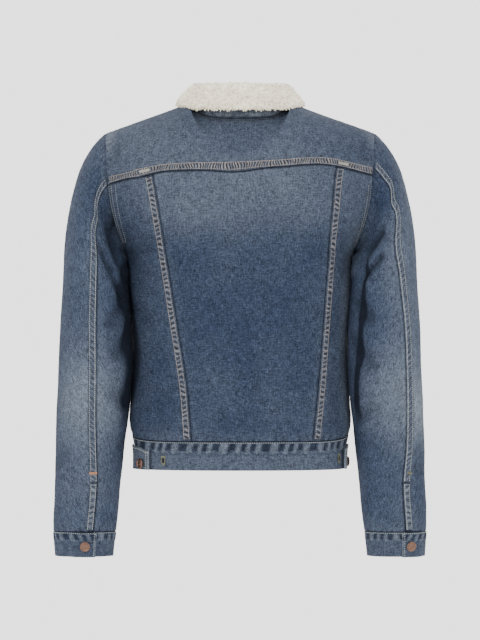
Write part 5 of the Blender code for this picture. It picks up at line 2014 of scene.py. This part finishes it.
@dataclass
class FelledSeam:
    """Folded strip over a seam, ribbed between its two rows of stitches."""

    name: str
    node: str
    surface: Surface
    centre: Callable[[float], tuple[float, float]]
    across_v: bool = False
    width: float = 0.0110
    height: float = 0.0014
    rib: float = 0.0075
    rib_height: float = 0.0008
    wear: float = 0.16
    pale_side: int = 1
    rows: tuple[float, float] = (0.10, 0.80)
    row_reach: float = 0.06
    ridge_place: float = 0.46
    ridge_reach: float = 0.36
    tan: float = 0.40
    groove_shade: float = 0.90
    edge_wear: float = 0.45
    far_shade: float = 0.15
    turn_in: float = 0.0014
    seed: int = 1

    def patch(self, a: float, b: float) -> tuple[float, float]:
        """Surface's u and v on the strip.

        Args:
            a: share across the strip.
            b: share along it.

        Returns:
            The u and the v.
        """
        u, v = self.centre(b)
        along_u, along_v = self.surface.slopes(u, v)
        shift = (a - 0.5) * self.width
        return (u, v + shift / along_v.length) if self.across_v else (u + shift / along_u.length, v)

    def dress(self, grid: Grid) -> None:
        """Raises the ribs, sinks the rows of stitches, wears both, and paints shade in the grooves between
        the ribs and along the far edge.

        Args:
            grid: the strip's grid.
        """
        across = np.array(STRIP_COLUMNS)[None, :]
        from_pale = 1 - across if self.pale_side > 0 else across
        run = grid.run_v + 0.0012 * np.sin(across * 5 + grid.run_v * 90)
        edge = np.sqrt(np.clip(1 - (2 * across - 1) ** 8, 0, 1))
        middle = bell(from_pale - self.ridge_place, self.ridge_reach, 6)
        uneven = 0.7 + 0.3 * np.sin(run * 2 * math.pi / (4.3 * self.rib) + self.seed)
        sway = 0.9 * np.sin(run * 2 * math.pi / (5.3 * self.rib))
        beat = 0.5 + 0.5 * np.cos(2 * math.pi * run / self.rib + sway)
        sunk = sum(bell(from_pale - row, self.row_reach) for row in self.rows)
        ridge = middle * beat * uneven
        pale = bell(from_pale - 0.04, 0.09) * (0.8 + 0.2 * np.sin(run * 310 + self.seed))
        grid.lift += 0.0005 + self.height * edge + self.rib_height * (ridge - 0.45 * sunk)
        grid.wear += self.wear * (0.3 + 1.2 * ridge) + self.edge_wear * pale
        grid.tan += self.tan * (ridge + 0.35 * pale)
        # Painted shade in the grooves between the ribs, and a painted shadow along the strip's far edge.
        grid.shade += self.groove_shade * middle * (1 - beat) ** 1.3 * (0.6 + 0.4 * uneven)
        grid.shade += self.far_shade * smooth_step((from_pale - 0.84) / 0.10)

    def build(self, finishes: Finishes, sewing: Stitching) -> None:
        """Makes the strip and its two rows of stitches.

        Args:
            finishes: the shared materials.
            sewing: where the stitches go.
        """
        step = 0.0010
        rough = Grid(self.surface, self.patch, even(2), even(40))
        steps = int(float(rough.run_v[-1].max()) / step)
        grid = Grid(self.surface, self.patch, STRIP_COLUMNS, even(steps))
        self.dress(grid)
        piece = add_piece(grid.mesh(self.name, -0.0002), finishes.denim)
        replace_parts(piece, self.node)
        width, length = grid.flat
        width += self.turn_in
        width * length
        for row in self.rows:
            sewing.run(grid.path(column=1 - row if self.pale_side > 0 else row), 0.0001)


@dataclass(frozen=True)
class Ruffle:
    """Lobes that a row of stitches draws up, from a seam down to the ledge of its allowance."""

    lobe: float
    sway: float
    sway_length: float
    foot: float
    foot_sway: float
    height: float
    sunk: float
    wear: float
    hollow_wear: float
    ledge_wear: float
    ledge_width: float
    ledge_share: float
    ledge_shade: float
    seam_shade: float
    seam_width: float
    hollow_shade: float
    start: float = 0.002
    foot_ripple: float = 0.0
    lift: float = 0.0

    def lay(self, grid: Grid, down: Array) -> Array:
        """Raises and wears the lobes, and paints shade under the seam, in the hollows between them and under
        the ledge.

        Args:
            grid: the band's grid.
            down: distance from the seam.

        Returns:
            Distance below the ledge.
        """
        run = grid.run_u
        beat = 2 * math.pi * run / self.lobe + self.sway * np.sin(run * 2 * math.pi / self.sway_length)
        lobe = smooth_step(0.5 + 0.75 * np.cos(beat))
        foot = self.foot + self.foot_sway * np.cos(beat) + self.foot_ripple * np.sin(run * 190)
        zone = smooth_step((down - self.start) / 0.002) * smooth_step((foot - down) / 0.0016)
        full = self.ledge_share + (1 - self.ledge_share) * lobe
        grid.lift += zone * (self.height * lobe - self.sunk) + self.lift
        grid.wear += zone * (self.wear * lobe - self.hollow_wear)
        grid.wear += self.ledge_wear * bell(down - foot, self.ledge_width) * full
        # Painted shade: a dark line under the seam, in the hollows between the lobes, and under the ledge.
        grid.shade += self.seam_shade * bell(down, self.seam_width) + self.hollow_shade * zone * (1 - lobe)
        grid.shade += self.ledge_shade * bell(down - foot - 0.0018, 0.0010) * full
        return down - foot


WAIST_RUFFLE = Ruffle(
    lobe=0.0185, sway=1.3, sway_length=3.7 * 0.0185, foot=0.0165, foot_sway=0.0014, foot_ripple=0.0008,
    start=0.0022, height=0.0012, sunk=0.0005, lift=0.0003, wear=0.24, hollow_wear=0.06,
    ledge_wear=0.24, ledge_width=0.0011, ledge_share=0.4, ledge_shade=0.5,
    seam_shade=0.80, seam_width=0.0016, hollow_shade=0.70,
)
CUFF_RUFFLE = Ruffle(
    lobe=0.0150, sway=1.2, sway_length=0.055, foot=0.0135, foot_sway=0.0012, height=0.0010, sunk=0.0004,
    wear=0.26, hollow_wear=0.08, ledge_wear=0.18, ledge_width=0.0010, ledge_share=0.0, ledge_shade=0.4,
    seam_shade=0.6, seam_width=0.0014, hollow_shade=0.55,
)


# ------------------------------------------------------------------ sub-assemblies


@dataclass
class BackPart:
    """Yoke and the three panels under it, with their seams."""

    finishes: Finishes
    pucker: float = 0.0009
    neck_pucker: float = 0.0004
    seam_span: tuple[float, float] = (0.006, 0.602)
    yoke_reach: float = 0.985
    armhole_insets: tuple[float, float] = (0.0020, 0.0070)
    third_inset: float = 0.0150
    neck_insets: tuple[float, float] = (0.0035, 0.0070)
    neck_reach: float = 0.395
    neck_sag: float = 0.0030
    tack_places: tuple[float, float] = (0.143, -0.155)
    tack_size: tuple[float, float] = (0.0160, 0.0055)

    def build(self) -> None:
        """Makes the back."""
        sewn = dict.fromkeys(("start", "end", "bottom", "top"), self.pucker)
        dress = partial(body_wear_and_shade, face=Face.BACK)
        Panel(
            "yoke_back", BACK, self.yoke_place, "back_centre",
            puckers={**sewn, "top": self.neck_pucker}, dress=self.dress_yoke,
        ).build(self.finishes)
        Panel(
            "back_centre", BACK, self.centre_place, "waistband_back",
            puckers=sewn, shadows={"start": 0.75, "end": 0.75, "top": 0.8}, dress=dress,
        ).build(self.finishes)
        for side in Side:
            Panel(
                "back_side_" + side.word, BACK, partial(self.side_place, side), "waistband_back",
                puckers=sewn, shadows={"top": 0.8}, dress=dress,
            ).build(self.finishes)
        self.seams()

    @staticmethod
    def yoke_place(a: float, b: float) -> tuple[float, float]:
        """Back's t and v for a share across the yoke and a share up."""
        t = mix(-1, 1, a)
        return t, mix(YOKE_LINE.share(t), 1, b)

    @staticmethod
    def centre_place(a: float, b: float) -> tuple[float, float]:
        """Back's t and v for a share across the centre panel and a share up."""
        right, left = (back_seam_t(round(b * YOKE_SHARE, 5), side) for side in (Side.RIGHT, Side.LEFT))
        return YOKE_LINE.below(mix(right, left, a), b * YOKE_SHARE)

    @staticmethod
    def side_place(side: Side, a: float, b: float) -> tuple[float, float]:
        """Back's t and v for a share across a side panel, towards the wearer's left, and a share up."""
        seam = back_seam_t(round(b * YOKE_SHARE, 5), side)
        return YOKE_LINE.below(mix(seam, 1, a) if side is Side.LEFT else mix(-1, seam, a), b * YOKE_SHARE)

    @staticmethod
    def dress_yoke(grid: Grid) -> None:
        """Wears the yoke, paints shade in its folds and darkens two lines under the neck seam.

        Args:
            grid: the yoke's grid.
        """
        body_wear_and_shade(grid, Face.BACK)
        across = np.abs(grid.points[..., 0]) / 0.075
        for place in (0.0032, 0.0072):
            line = bell(grid.top - place - 0.0012 * (1 - across**2), 0.0011)
            grid.shade += 0.9 * line * smooth_step((1 - across) / 0.12)

    def yoke_seam(self, b: float) -> tuple[float, float]:
        """Place on the yoke seam at a share of its run."""
        t = mix(-self.yoke_reach, self.yoke_reach, b)
        return t, YOKE_LINE.share(t)

    def long_seam(self, side: Side, b: float) -> tuple[float, float]:
        """Place on a long seam at a share of its run."""
        v = round(mix(*self.seam_span, b), 5)
        return YOKE_LINE.below(back_seam_t(v, side), v)

    def seams(self) -> None:
        """Makes the yoke seam and the two long seams, and sews everything on the back."""
        sewing = Stitching("stitches_back")
        FelledSeam(
            "felled_yoke", "seam_yoke", BACK, self.yoke_seam, across_v=True, width=0.0116, rib=0.0041,
            wear=0.30, tan=0.85, groove_shade=1.1, edge_wear=0.12, far_shade=0.9,
        ).build(self.finishes, sewing)
        for number, side in enumerate(Side):
            FelledSeam(
                "felled_back_" + side.word, "seam_back_" + side.word, BACK, partial(self.long_seam, side),
                pale_side=side.value, seed=number,
            ).build(self.finishes, sewing)
        self.armhole_rows()
        sewing.finish(self.finishes.thread)
        self.neck_rows()
        self.tacks()

    def armhole_rows(self) -> None:
        """Sews two rows round each armhole, and a third one behind the left."""
        grey = Stitching("stitches_armholes")
        back_reach = YOKE_SHARE - 0.02
        for side in Side:
            for inset in self.armhole_insets:
                grey.run(armhole_row(BACK, side, inset, back_reach))
                grey.run(armhole_row(FRONT, side, inset, 0.995))
        grey.run(armhole_row(BACK, Side.LEFT, self.third_inset, back_reach))
        grey.finish(self.finishes.grey_thread)

    def neck_rows(self) -> None:
        """Sews two fine rows under the neck seam."""
        fine = Stitching("stitches_neck")
        for inset in self.neck_insets:
            line = []
            for t in even(80, -self.neck_reach, self.neck_reach):
                down = inset + self.neck_sag * (1 - (t / self.neck_reach) ** 2)
                line.append(on_panel(BACK, t, 1 - down / BACK.slopes(t, 1.0)[1].length))
            fine.run(line)
        fine.finish(self.finishes.deep_thread)

    def tacks(self) -> None:
        """Sews a bartack over each end of the yoke seam."""
        sewing = Stitching("bartacks_back")
        for x in self.tack_places:
            t = FORM.t_at(FORM.back, x, YOKE_LINE.share(x / 0.19))
            point, normal = on_panel(BACK, t, YOKE_LINE.share(t))
            ahead, _ = on_panel(BACK, t + 0.01, YOKE_LINE.share(t + 0.01))
            sewing.tack(point + normal * 0.0022, (ahead - point).normalized(), normal, self.tack_size)
        sewing.finish(self.finishes.faded_thread)


@dataclass
class FrontPart:
    """Fronts with the button band between them."""

    finishes: Finishes
    half_band: float = 0.019
    lap_end: float = 0.013
    rows: tuple[float, ...] = (0.05, 0.80, 0.95)

    def left_place(self, a: float, b: float) -> tuple[float, float]:
        """Front's t and v for a share across the left front and a share up."""
        return mix(front_t(self.half_band, round(b, 5)), 1, a), b

    def right_place(self, a: float, b: float) -> tuple[float, float]:
        """Front's t and v for a share across the right front and a share up."""
        return mix(-1, front_t(self.lap_end, round(b, 5)), a), b

    def band_place(self, a: float, b: float) -> tuple[float, float]:
        """Front's t and v for a share across the button band and a share up."""
        return front_t(round(mix(-self.half_band, self.half_band, a), 6), round(b, 5)), b

    def build(self) -> None:
        """Makes the fronts and the band."""
        dress = partial(body_wear_and_shade, face=Face.FRONT)
        Panel(
            "front_left", FRONT, self.left_place, "waistband_left",
            puckers={"start": 0.0007, "end": 0.0009, "bottom": 0.0009, "top": 0.0006}, dress=dress,
        ).build(self.finishes)
        Panel(
            "front_right", FRONT, self.right_place, "waistband_right",
            puckers={"start": 0.0009, "bottom": 0.0009, "top": 0.0006}, rise=lap_under, dress=dress,
        ).build(self.finishes)
        band = Panel(
            "front_band", FRONT, self.band_place, "waistband_left",
            raw=("start",), puckers={"start": 0.0004, "end": 0.0007}, dress=dress,
        ).build(self.finishes)
        sewing = Stitching("stitches_front")
        for share in self.rows:
            sewing.run(band.path(column=share))
        sewing.finish(self.finishes.thread)


@dataclass
class WaistPart:
    """Waistband round the back and fronts, ruffled below its top row, and its two tabs."""

    finishes: Finishes
    middle_z: float = -0.528
    left_end: float = -0.019
    right_end: float = 0.013
    hole_size: tuple[float, float] = (0.0140, 0.0080)
    holes: tuple[tuple[float, float], ...] = ((0.1157, -0.535), (-0.150, -0.534))
    tab_shadows: tuple[float, float] = (0.1350, -0.1560)
    tab_lift: float = 0.0041
    tab_top: float = 1 - 0.012 / 0.044
    tab_corner: float = 0.10
    tab_spans: dict[Side, tuple[float, float]] = field(
        default_factory=lambda: {Side.LEFT: (0.137, 0.995), Side.RIGHT: (0.158, 1.170)}
    )

    def dress(self, grid: Grid) -> None:
        """Lays the ruffle, and paints shade in the buttonholes' slits and a shadow on the cloth beside the
        tabs' ends.

        Args:
            grid: the grid of one length of the waistband.
        """
        below = WAIST_RUFFLE.lay(grid, grid.top)
        grid.wear += 0.05 * smooth_step((below - 0.003) / 0.004)
        x, y, z = grid.points[..., 0], grid.points[..., 1], grid.points[..., 2]
        # Painted shade in the slit of each buttonhole.
        for hole_x, hole_z in self.holes:
            far = ((x - hole_x) / 0.0018) ** 2 + ((z - hole_z) / 0.0048) ** 2
            grid.shade += 1.3 * np.exp(-(far**2)) * (y > 0)
        # Painted shadow on the waistband beside each tab's free end.
        for end_x in self.tab_shadows:
            grid.shade += 0.8 * bell(x - end_x, 0.0016) * smooth_step((-0.518 - z) / 0.004) * (y > 0)

    @staticmethod
    def length_place(start: float, end: float, a: float, b: float) -> tuple[float, float]:
        """Waistband's q and v for a share across one of its lengths and a share up."""
        return mix(start, end, a), b

    def middle_row(self, t: float, _v: float) -> Vector:
        """Point of the front's outline at the waistband's middle height."""
        return FORM.torso(Face.FRONT, t, self.middle_z)

    def build(self) -> None:
        """Makes the waistband, the tabs and the buttonholes."""
        sewing = Stitching("stitches_waist")
        end_left = 2 - FORM.t_at(self.middle_row, self.left_end, 0)
        end_right = 2 + FORM.t_at(self.middle_row, self.right_end, 0)
        spans = {"back": (-1.0, 1.0), "left": (1.0, end_left), "right": (-end_right, -1.0)}
        for word, (start, end) in spans.items():
            band = Panel(
                "waistband_" + word, BAND, partial(self.length_place, start, end), "back_centre",
                raw=("bottom", "end") if word == "left" else ("bottom",),
                rise=lap_under if word == "right" else None, dress=self.dress, step=0.0024,
            ).build(self.finishes)
            sewing.run(band.path(row=0.955), 0.0002)
            if word == "left":
                sewing.run(band.path(column=0.985))
        for side in Side:
            self.tab(side, sewing)
        sewing.finish(self.finishes.pale_thread)
        self.buttonholes()

    def buttonholes(self) -> None:
        """Sews round the two buttonholes."""
        sewing = Stitching("buttonholes_waist")
        hem_z, top_z = FORM.band(0.0, 0.0).z, FORM.band(0.0, 1.0).z
        for x, z in self.holes:
            share = (z - hem_z) / (top_z - hem_z)
            point, normal = BAND.place(FORM.t_at(FORM.band, x, share), share)
            sewing.buttonhole(point + normal * 0.0005, Vector((0, 0, 1)), normal, self.hole_size)
        sewing.finish(self.finishes.olive_thread)

    def tab_place(self, side: Side, free: float, start: float, a: float, b: float) -> tuple[float, float]:
        """Waistband's q and v on a tab.

        Args:
            side: which tab.
            free: where its free end lies round the waistband.
            start: where its sewn end lies.
            a: share across it, towards the wearer's left.
            b: share up.

        Returns:
            The q and the v.
        """
        share = a if side is Side.LEFT else 1 - a
        corner = self.tab_corner * (1 - float(smooth_step(share / 0.35)))
        return mix(free, side.value * start, share), (self.tab_top - corner) * b

    @staticmethod
    def dress_tab(side: Side, grid: Grid) -> None:
        """Wears a tab, most of all at its free end, and paints a line of shade just in from that end.

        Args:
            side: which tab.
            grid: its grid.
        """
        edge = grid.start if side is Side.LEFT else grid.end
        grid.wear += 0.12 + 0.30 * bell(edge, 0.0018) + 0.2 * bell(grid.top, 0.0016)
        # Painted shade, a line just in from the tab's free end.
        grid.shade += 0.35 * bell(edge - 0.005, 0.002)

    def tab(self, side: Side, sewing: Stitching) -> None:
        """Makes a tab with its edge stitches.

        Args:
            side: which tab.
            sewing: where the stitches go.
        """
        end_x, start = self.tab_spans[side]
        free = FORM.t_at(FORM.band, side.value * end_x, 0.5)
        tab = Panel(
            "tab_" + side.word, BAND, partial(self.tab_place, side, free, start), "waistband_back",
            raw=("start", "end", "bottom", "top"), rise=lambda grid: np.full(grid.u.shape, self.tab_lift),
            dress=partial(self.dress_tab, side), step=0.0018,
        ).build(self.finishes)
        sewing.run(tab.path(column=0.07 if side is Side.LEFT else 0.93))
        sewing.run(tab.path(row=0.93))


@dataclass
class SleevePart:
    """Two-piece sleeve with its felled seam, vent and cuff."""

    finishes: Finishes
    side: Side
    under_seam: float = 225.0
    vent_share: float = 0.876
    tack_rise: float = 0.028
    tack_size: tuple[float, float] = (0.0118, 0.0050)
    lap_angle: float = 28.0
    ramp_angle: float = 30.0
    lap_height: float = 0.0035
    tucked: float = 0.0120

    @property
    def cuff_end(self) -> float:
        """Angle at which the cuff's upper end lies."""
        return 114.0 if self.side is Side.LEFT else 80.0

    def seam(self, v: float) -> float:
        """Angle of the back seam."""
        return SLEEVE_SEAM_TABLE.read(v, self.side.word)

    def seam_place(self, start: float, end: float, b: float) -> tuple[float, float]:
        """Place on the back seam at a share of the run between two length shares."""
        v = mix(start, end, b)
        return self.seam(v), v

    def build(self) -> None:
        """Makes the sleeve."""
        word, surface = self.side.word, SLEEVES[self.side]
        sewing = Stitching("stitches_sleeve_" + word)
        dress = partial(sleeve_wear_and_shade, side=self.side)
        Panel(
            "sleeve_top_" + word, surface, lambda a, b: (mix(self.under_seam - 360, self.seam(b), a), b),
            "yoke_back", tucked=self.tucked, dress=dress,
            puckers={"start": 0.0008, "end": 0.0010, "bottom": 0.0009, "top": 0.0009},
        ).build(self.finishes)
        Panel(
            "sleeve_under_" + word, surface, lambda a, b: (mix(self.seam(b), self.under_seam, a), b),
            "back_side_" + word, tucked=self.tucked, dress=dress, shadows={"start": 0.85},
            puckers={"start": 0.0010, "end": 0.0006, "bottom": 0.0009, "top": 0.0009},
        ).build(self.finishes)
        FelledSeam(
            "felled_sleeve_" + word, "seam_sleeve_" + word, surface,
            partial(self.seam_place, 0.004, self.vent_share - 0.006),
            rib=0.0088, wear=0.10, tan=0.10, groove_shade=0.45, edge_wear=0.50,
        ).build(self.finishes, sewing)
        FelledSeam(
            "bound_vent_" + word, "vent_" + word, surface, partial(self.seam_place, self.vent_share, 0.994),
            width=0.0102, height=0.0021, rib=0.0100, wear=0.30, tan=0.10, groove_shade=0.5,
        ).build(self.finishes, sewing)
        self.cuff(sewing)
        sewing.finish(self.finishes.pale_thread)
        self.tack(surface)

    def tack(self, surface: Surface) -> None:
        """Sews the bartack over the vent, in its own colour on each sleeve.

        Args:
            surface: the sleeve's surface.
        """
        sewing = Stitching("bartack_sleeve_" + self.side.word)
        u, v = self.seam_place(0, 1, self.vent_share - self.tack_rise)
        point, normal = surface.place(u, v)
        sewing.tack(point + normal * 0.0026, surface.slopes(u, v)[0].normalized(), normal, self.tack_size)
        sewing.finish(self.finishes.rust_thread if self.side is Side.LEFT else self.finishes.olive_thread)

    def cuff_rise(self, grid: Grid) -> Array:
        """Lifts the cuff's upper end over its lower one."""
        start = self.cuff_end - self.lap_angle - self.ramp_angle
        return self.lap_height * smooth_step((grid.u - start) / self.ramp_angle)

    @staticmethod
    def dress_cuff(grid: Grid) -> None:
        """Lays the cuff's ruffle and wears its end."""
        CUFF_RUFFLE.lay(grid, grid.bottom)
        grid.wear += 0.24 * bell(grid.end, 0.003)

    def cuff(self, sewing: Stitching) -> None:
        """Makes the cuff, its end lapped over.

        Args:
            sewing: where the stitches go.
        """
        end = self.cuff_end
        start = end - 360 - self.lap_angle
        cuff = Panel(
            "cuff_" + self.side.word, CUFFS[self.side], lambda a, b: (mix(start, end, a), b),
            "sleeve_top_" + self.side.word, raw=("start", "end", "top"), rise=self.cuff_rise,
            dress=self.dress_cuff, step=0.0022,
        ).build(self.finishes)
        sewing.run(cuff.path(row=0.05))
        sewing.run(cuff.path(column=0.988))


@dataclass
class CollarPart:
    """Denim under collar with its stand, and the curled pile over it."""

    finishes: Finishes
    end: float = 0.985
    under: float = 0.0020
    under_end: float = 0.94
    gap: float = 0.0011
    pile: float = 0.0042
    lump: float = 0.0014
    lump_size: float = 0.0085
    tuft: float = 0.0034
    tufts: int = 2300
    edge_tufts: int = 420
    corner_station: float = 0.49
    corner_reach: float = 0.0020
    tucked: float = 0.0070

    def build(self) -> None:
        """Makes the under collar, then the pile over it."""
        stand, roll = CollarForm.stand_share, CollarForm.roll_share
        columns = even(150, -self.end, self.end)
        rows = [*even(12, 0, stand), *even(8, stand, roll)[1:], *even(14, roll, self.under_end)[1:]]
        grid = Grid(COLLAR, lambda a, b: (a, b), columns, rows)
        inward = np.array((0.0, CollarForm.neck_middle_y, 0.0)) - grid.points[0] * (1, 1, 0)
        inward /= np.linalg.norm(inward, axis=1)[:, None]
        grid.points[0] += self.tucked * (0.3 * inward - (0, 0, 1))
        grid.wear += 0.40 + 0.16 * waves(grid.points, 0.012, 9)
        cloth = add_piece(grid.mesh("denim_collar_stand", -self.under), self.finishes.denim)
        cloth.data.flip_normals()
        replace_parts(cloth, "collar_denim")
        grid.flat
        share_of(grid)
        self.fleece()

    def fleece(self) -> None:
        """Makes the lumpy skin of the pile, then the curls on it."""
        columns = even(300, -self.end, self.end)
        skin = Grid(COLLAR, lambda a, b: (a, b), columns, even(96, 0, 1))
        fall = skin.points[-1] - skin.points[-6]
        fall /= np.linalg.norm(fall, axis=1)[:, None]
        corner = bell(np.abs(skin.u) - self.corner_station, 0.13) * smooth_step((skin.v - 0.80) / 0.20)
        skin.points += fall[None] * (self.corner_reach * corner)[..., None]
        near = (skin.v / 0.05, (1 - skin.v) / 0.12, (self.end - np.abs(skin.u)) / 0.03)
        foot, edge, ends = (np.sqrt(1 - (1 - np.clip(share, 0, 1)) ** 2) for share in near)
        lumps = 0.5 * waves(skin.points, self.lump_size, 21)
        skin.lift += self.under + self.gap + self.pile * (foot * edge * ends) + self.lump * lumps
        piece = add_piece(
            skin.mesh("fleece_collar_skin", -(self.under + self.gap)), self.finishes.fleece
        )
        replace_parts(piece, "collar_fleece")
        skin.flat
        share_of(skin)
        self.curls(skin, fall)

    def curls(self, skin: Grid, fall: Array) -> None:
        """Sets curls all over the skin and loose locks along its edge.

        Args:
            skin: the skin's grid.
            fall: the way each column falls at the edge.
        """
        picks = np.random.default_rng(5)
        places = []
        row_count, column_count = skin.u.shape
        for _ in range(self.tufts // (1)):
            row, column = int(picks.integers(2, row_count)), int(picks.integers(0, column_count))
            normal, lift = skin.normals[row, column], skin.lift[row, column] + 0.0002
            way = Vector(picks.normal(size=3)).normalized()
            size = self.tuft * picks.uniform(0.6, 1.15)
            curl = (size * 0.62, size * 0.42, size * 0.42)
            places.append(turned(Vector(skin.points[row, column] + normal * lift), way, Vector(normal), curl))
        for _ in range(self.edge_tufts):
            column = int(picks.integers(2, column_count - 2))
            normal, lift = skin.normals[-2, column], skin.lift[-3, column] * picks.uniform(0.3, 1.0)
            way = (Vector(fall[column]) + 0.6 * Vector(picks.normal(size=3))).normalized()
            length, thick = picks.uniform(0.0016, 0.0042), picks.uniform(0.0007, 0.0013)
            place = Vector(skin.points[-2, column] + normal * lift) + way * 0.4 * length
            places.append(turned(place, way, Vector(normal), (length, thick, thick)))
        ball = small_shape(bmesh.ops.create_icosphere, subdivisions=1, radius=1.0)
        add_piece(copies(ball, places, "fleece_collar_curls"), self.finishes.fleece)
        log.info("fleece_collar_curls: %d curls", len(places))


@dataclass
class Buttons:
    """Shank buttons with a plain domed face inside a rim."""

    finishes: Finishes
    radius: float = 0.0078
    height: float = 0.0052
    sides: int = 36
    cuff_middle: tuple[float, float] = (0.2375, -0.018)

    def cap(self, name: str, centre: Vector, normal: Vector) -> None:
        """Turns one button.

        Args:
            name: its node.
            centre: middle of its foot.
            normal: its axis.
        """
        shape = bmesh.new()
        spots = [shape.verts.new((r * self.radius, 0, h * self.height)) for r, h in BUTTON_OUTLINE]
        edges = [shape.edges.new(pair) for pair in zip(spots, spots[1:])]
        turn = {"cent": (0, 0, 0), "axis": (0, 0, 1), "angle": 2 * math.pi, "steps": self.sides}
        bmesh.ops.spin(shape, geom=[*spots, *edges], use_merge=True, **turn)
        bmesh.ops.remove_doubles(shape, verts=shape.verts, dist=0.00001)
        bmesh.ops.recalc_face_normals(shape, faces=shape.faces)
        spin = normal.to_track_quat("Z", "Y").to_matrix().to_4x4()
        bmesh.ops.transform(shape, matrix=Matrix.Translation(centre) @ spin, verts=shape.verts)
        mesh = mesh_of(shape, "copper_" + name)
        mesh.shade_smooth()
        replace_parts(add_piece(mesh, self.finishes.copper), name)

    def build(self) -> None:
        """Makes every button on its node's place."""
        names = sorted(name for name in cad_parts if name.startswith("button_"))
        for name in names:
            self.cap(name, *self.axis(name))
        log.info("buttons: %d", len(names))

    def axis(self, name: str) -> tuple[Vector, Vector]:
        """Foot and axis of a button, from its solid's points.

        Args:
            name: its node.

        Returns:
            Middle of the foot and the outward axis.
        """
        spots = np.array([tuple(vertex.co) for vertex in bpy.data.objects[name].data.vertices])
        middle = spots.mean(axis=0)
        _, _, ways = np.linalg.svd(spots - middle)
        normal = Vector(ways[2])
        out = Vector((middle[0], middle[1], 0))
        if "cuff" in name:
            middle_x, middle_y = self.cuff_middle
            out -= Vector((math.copysign(middle_x, middle[0]), middle_y, 0))
        if normal.dot(out) < 0:
            normal = -normal
        low = min((Vector(spot) - Vector(middle)).dot(normal) for spot in spots)
        return Vector(middle) + normal * low, normal


@dataclass
class Studio:
    """Pale floor, soft lights and the camera."""

    distance: float = 6.0
    height: float = 0.979
    eye_z: float = -0.323
    floor_z: float = -1.45
    floor_size: float = 5.0
    room_strength: float = 2.5

    def build(self) -> None:
        """Makes the studio."""
        shape = bmesh.new()
        bmesh.ops.create_grid(shape, x_segments=1, y_segments=1, size=self.floor_size)
        bmesh.ops.translate(shape, verts=shape.verts, vec=(0, 0, self.floor_z))
        mesh = mesh_of(shape, "floor")
        floor = bpy.data.objects.new("floor", mesh)
        bpy.context.scene.collection.objects.link(floor)
        dye = Dye("pale_floor", 0.9)
        dye.set(dye.shader, {"Base Color": (0.9, 0.9, 0.9, 1.0)})
        mesh.materials.append(dye.material)
        world = bpy.data.worlds.new("pale_room")
        bpy.context.scene.world = world
        world.use_nodes = True
        back = world.node_tree.nodes["Background"]
        back.inputs["Color"].default_value = (1.0, 1.0, 1.0, 1.0)
        back.inputs["Strength"].default_value = self.room_strength
        for lamp in LAMPS:
            self.light(lamp)
        self.camera()

    def light(self, lamp: Lamp) -> None:
        """Soft square light that faces the jacket.

        Args:
            lamp: its place, size and power.
        """
        source = bpy.data.lights.new(lamp.name, "AREA")
        source.size, source.energy = lamp.size, lamp.power
        made = bpy.data.objects.new(lamp.name, source)
        made.location = lamp.place
        aim = Vector((0, 0, self.eye_z)) - Vector(lamp.place)
        made.rotation_euler = aim.to_track_quat("-Z", "Y").to_euler()
        bpy.context.scene.collection.objects.link(made)

    def camera(self) -> None:
        """Camera level with the jacket's middle, straight behind it."""
        lens = bpy.data.cameras.new("camera")
        lens.sensor_fit = "VERTICAL"
        lens.sensor_height = 36.0
        lens.lens = lens.sensor_height * self.distance / self.height
        made = bpy.data.objects.new("camera", lens)
        made.location = (0, self.distance, self.eye_z)
        made.rotation_euler = (math.pi / 2, 0, math.pi)
        bpy.context.scene.collection.objects.link(made)
        bpy.context.scene.camera = made


def main() -> None:
    """Builds the jacket piece by piece."""
    logging.basicConfig(level=logging.INFO, format="%(name)s: %(message)s")
    Studio().build()
    finishes = Finishes()
    for part in (BackPart(finishes), FrontPart(finishes), WaistPart(finishes)):
        part.build()
    for side in Side:
        SleevePart(finishes, side).build()
    CollarPart(finishes).build()
    Buttons(finishes).build()


if __name__ == "__main__":
    main()
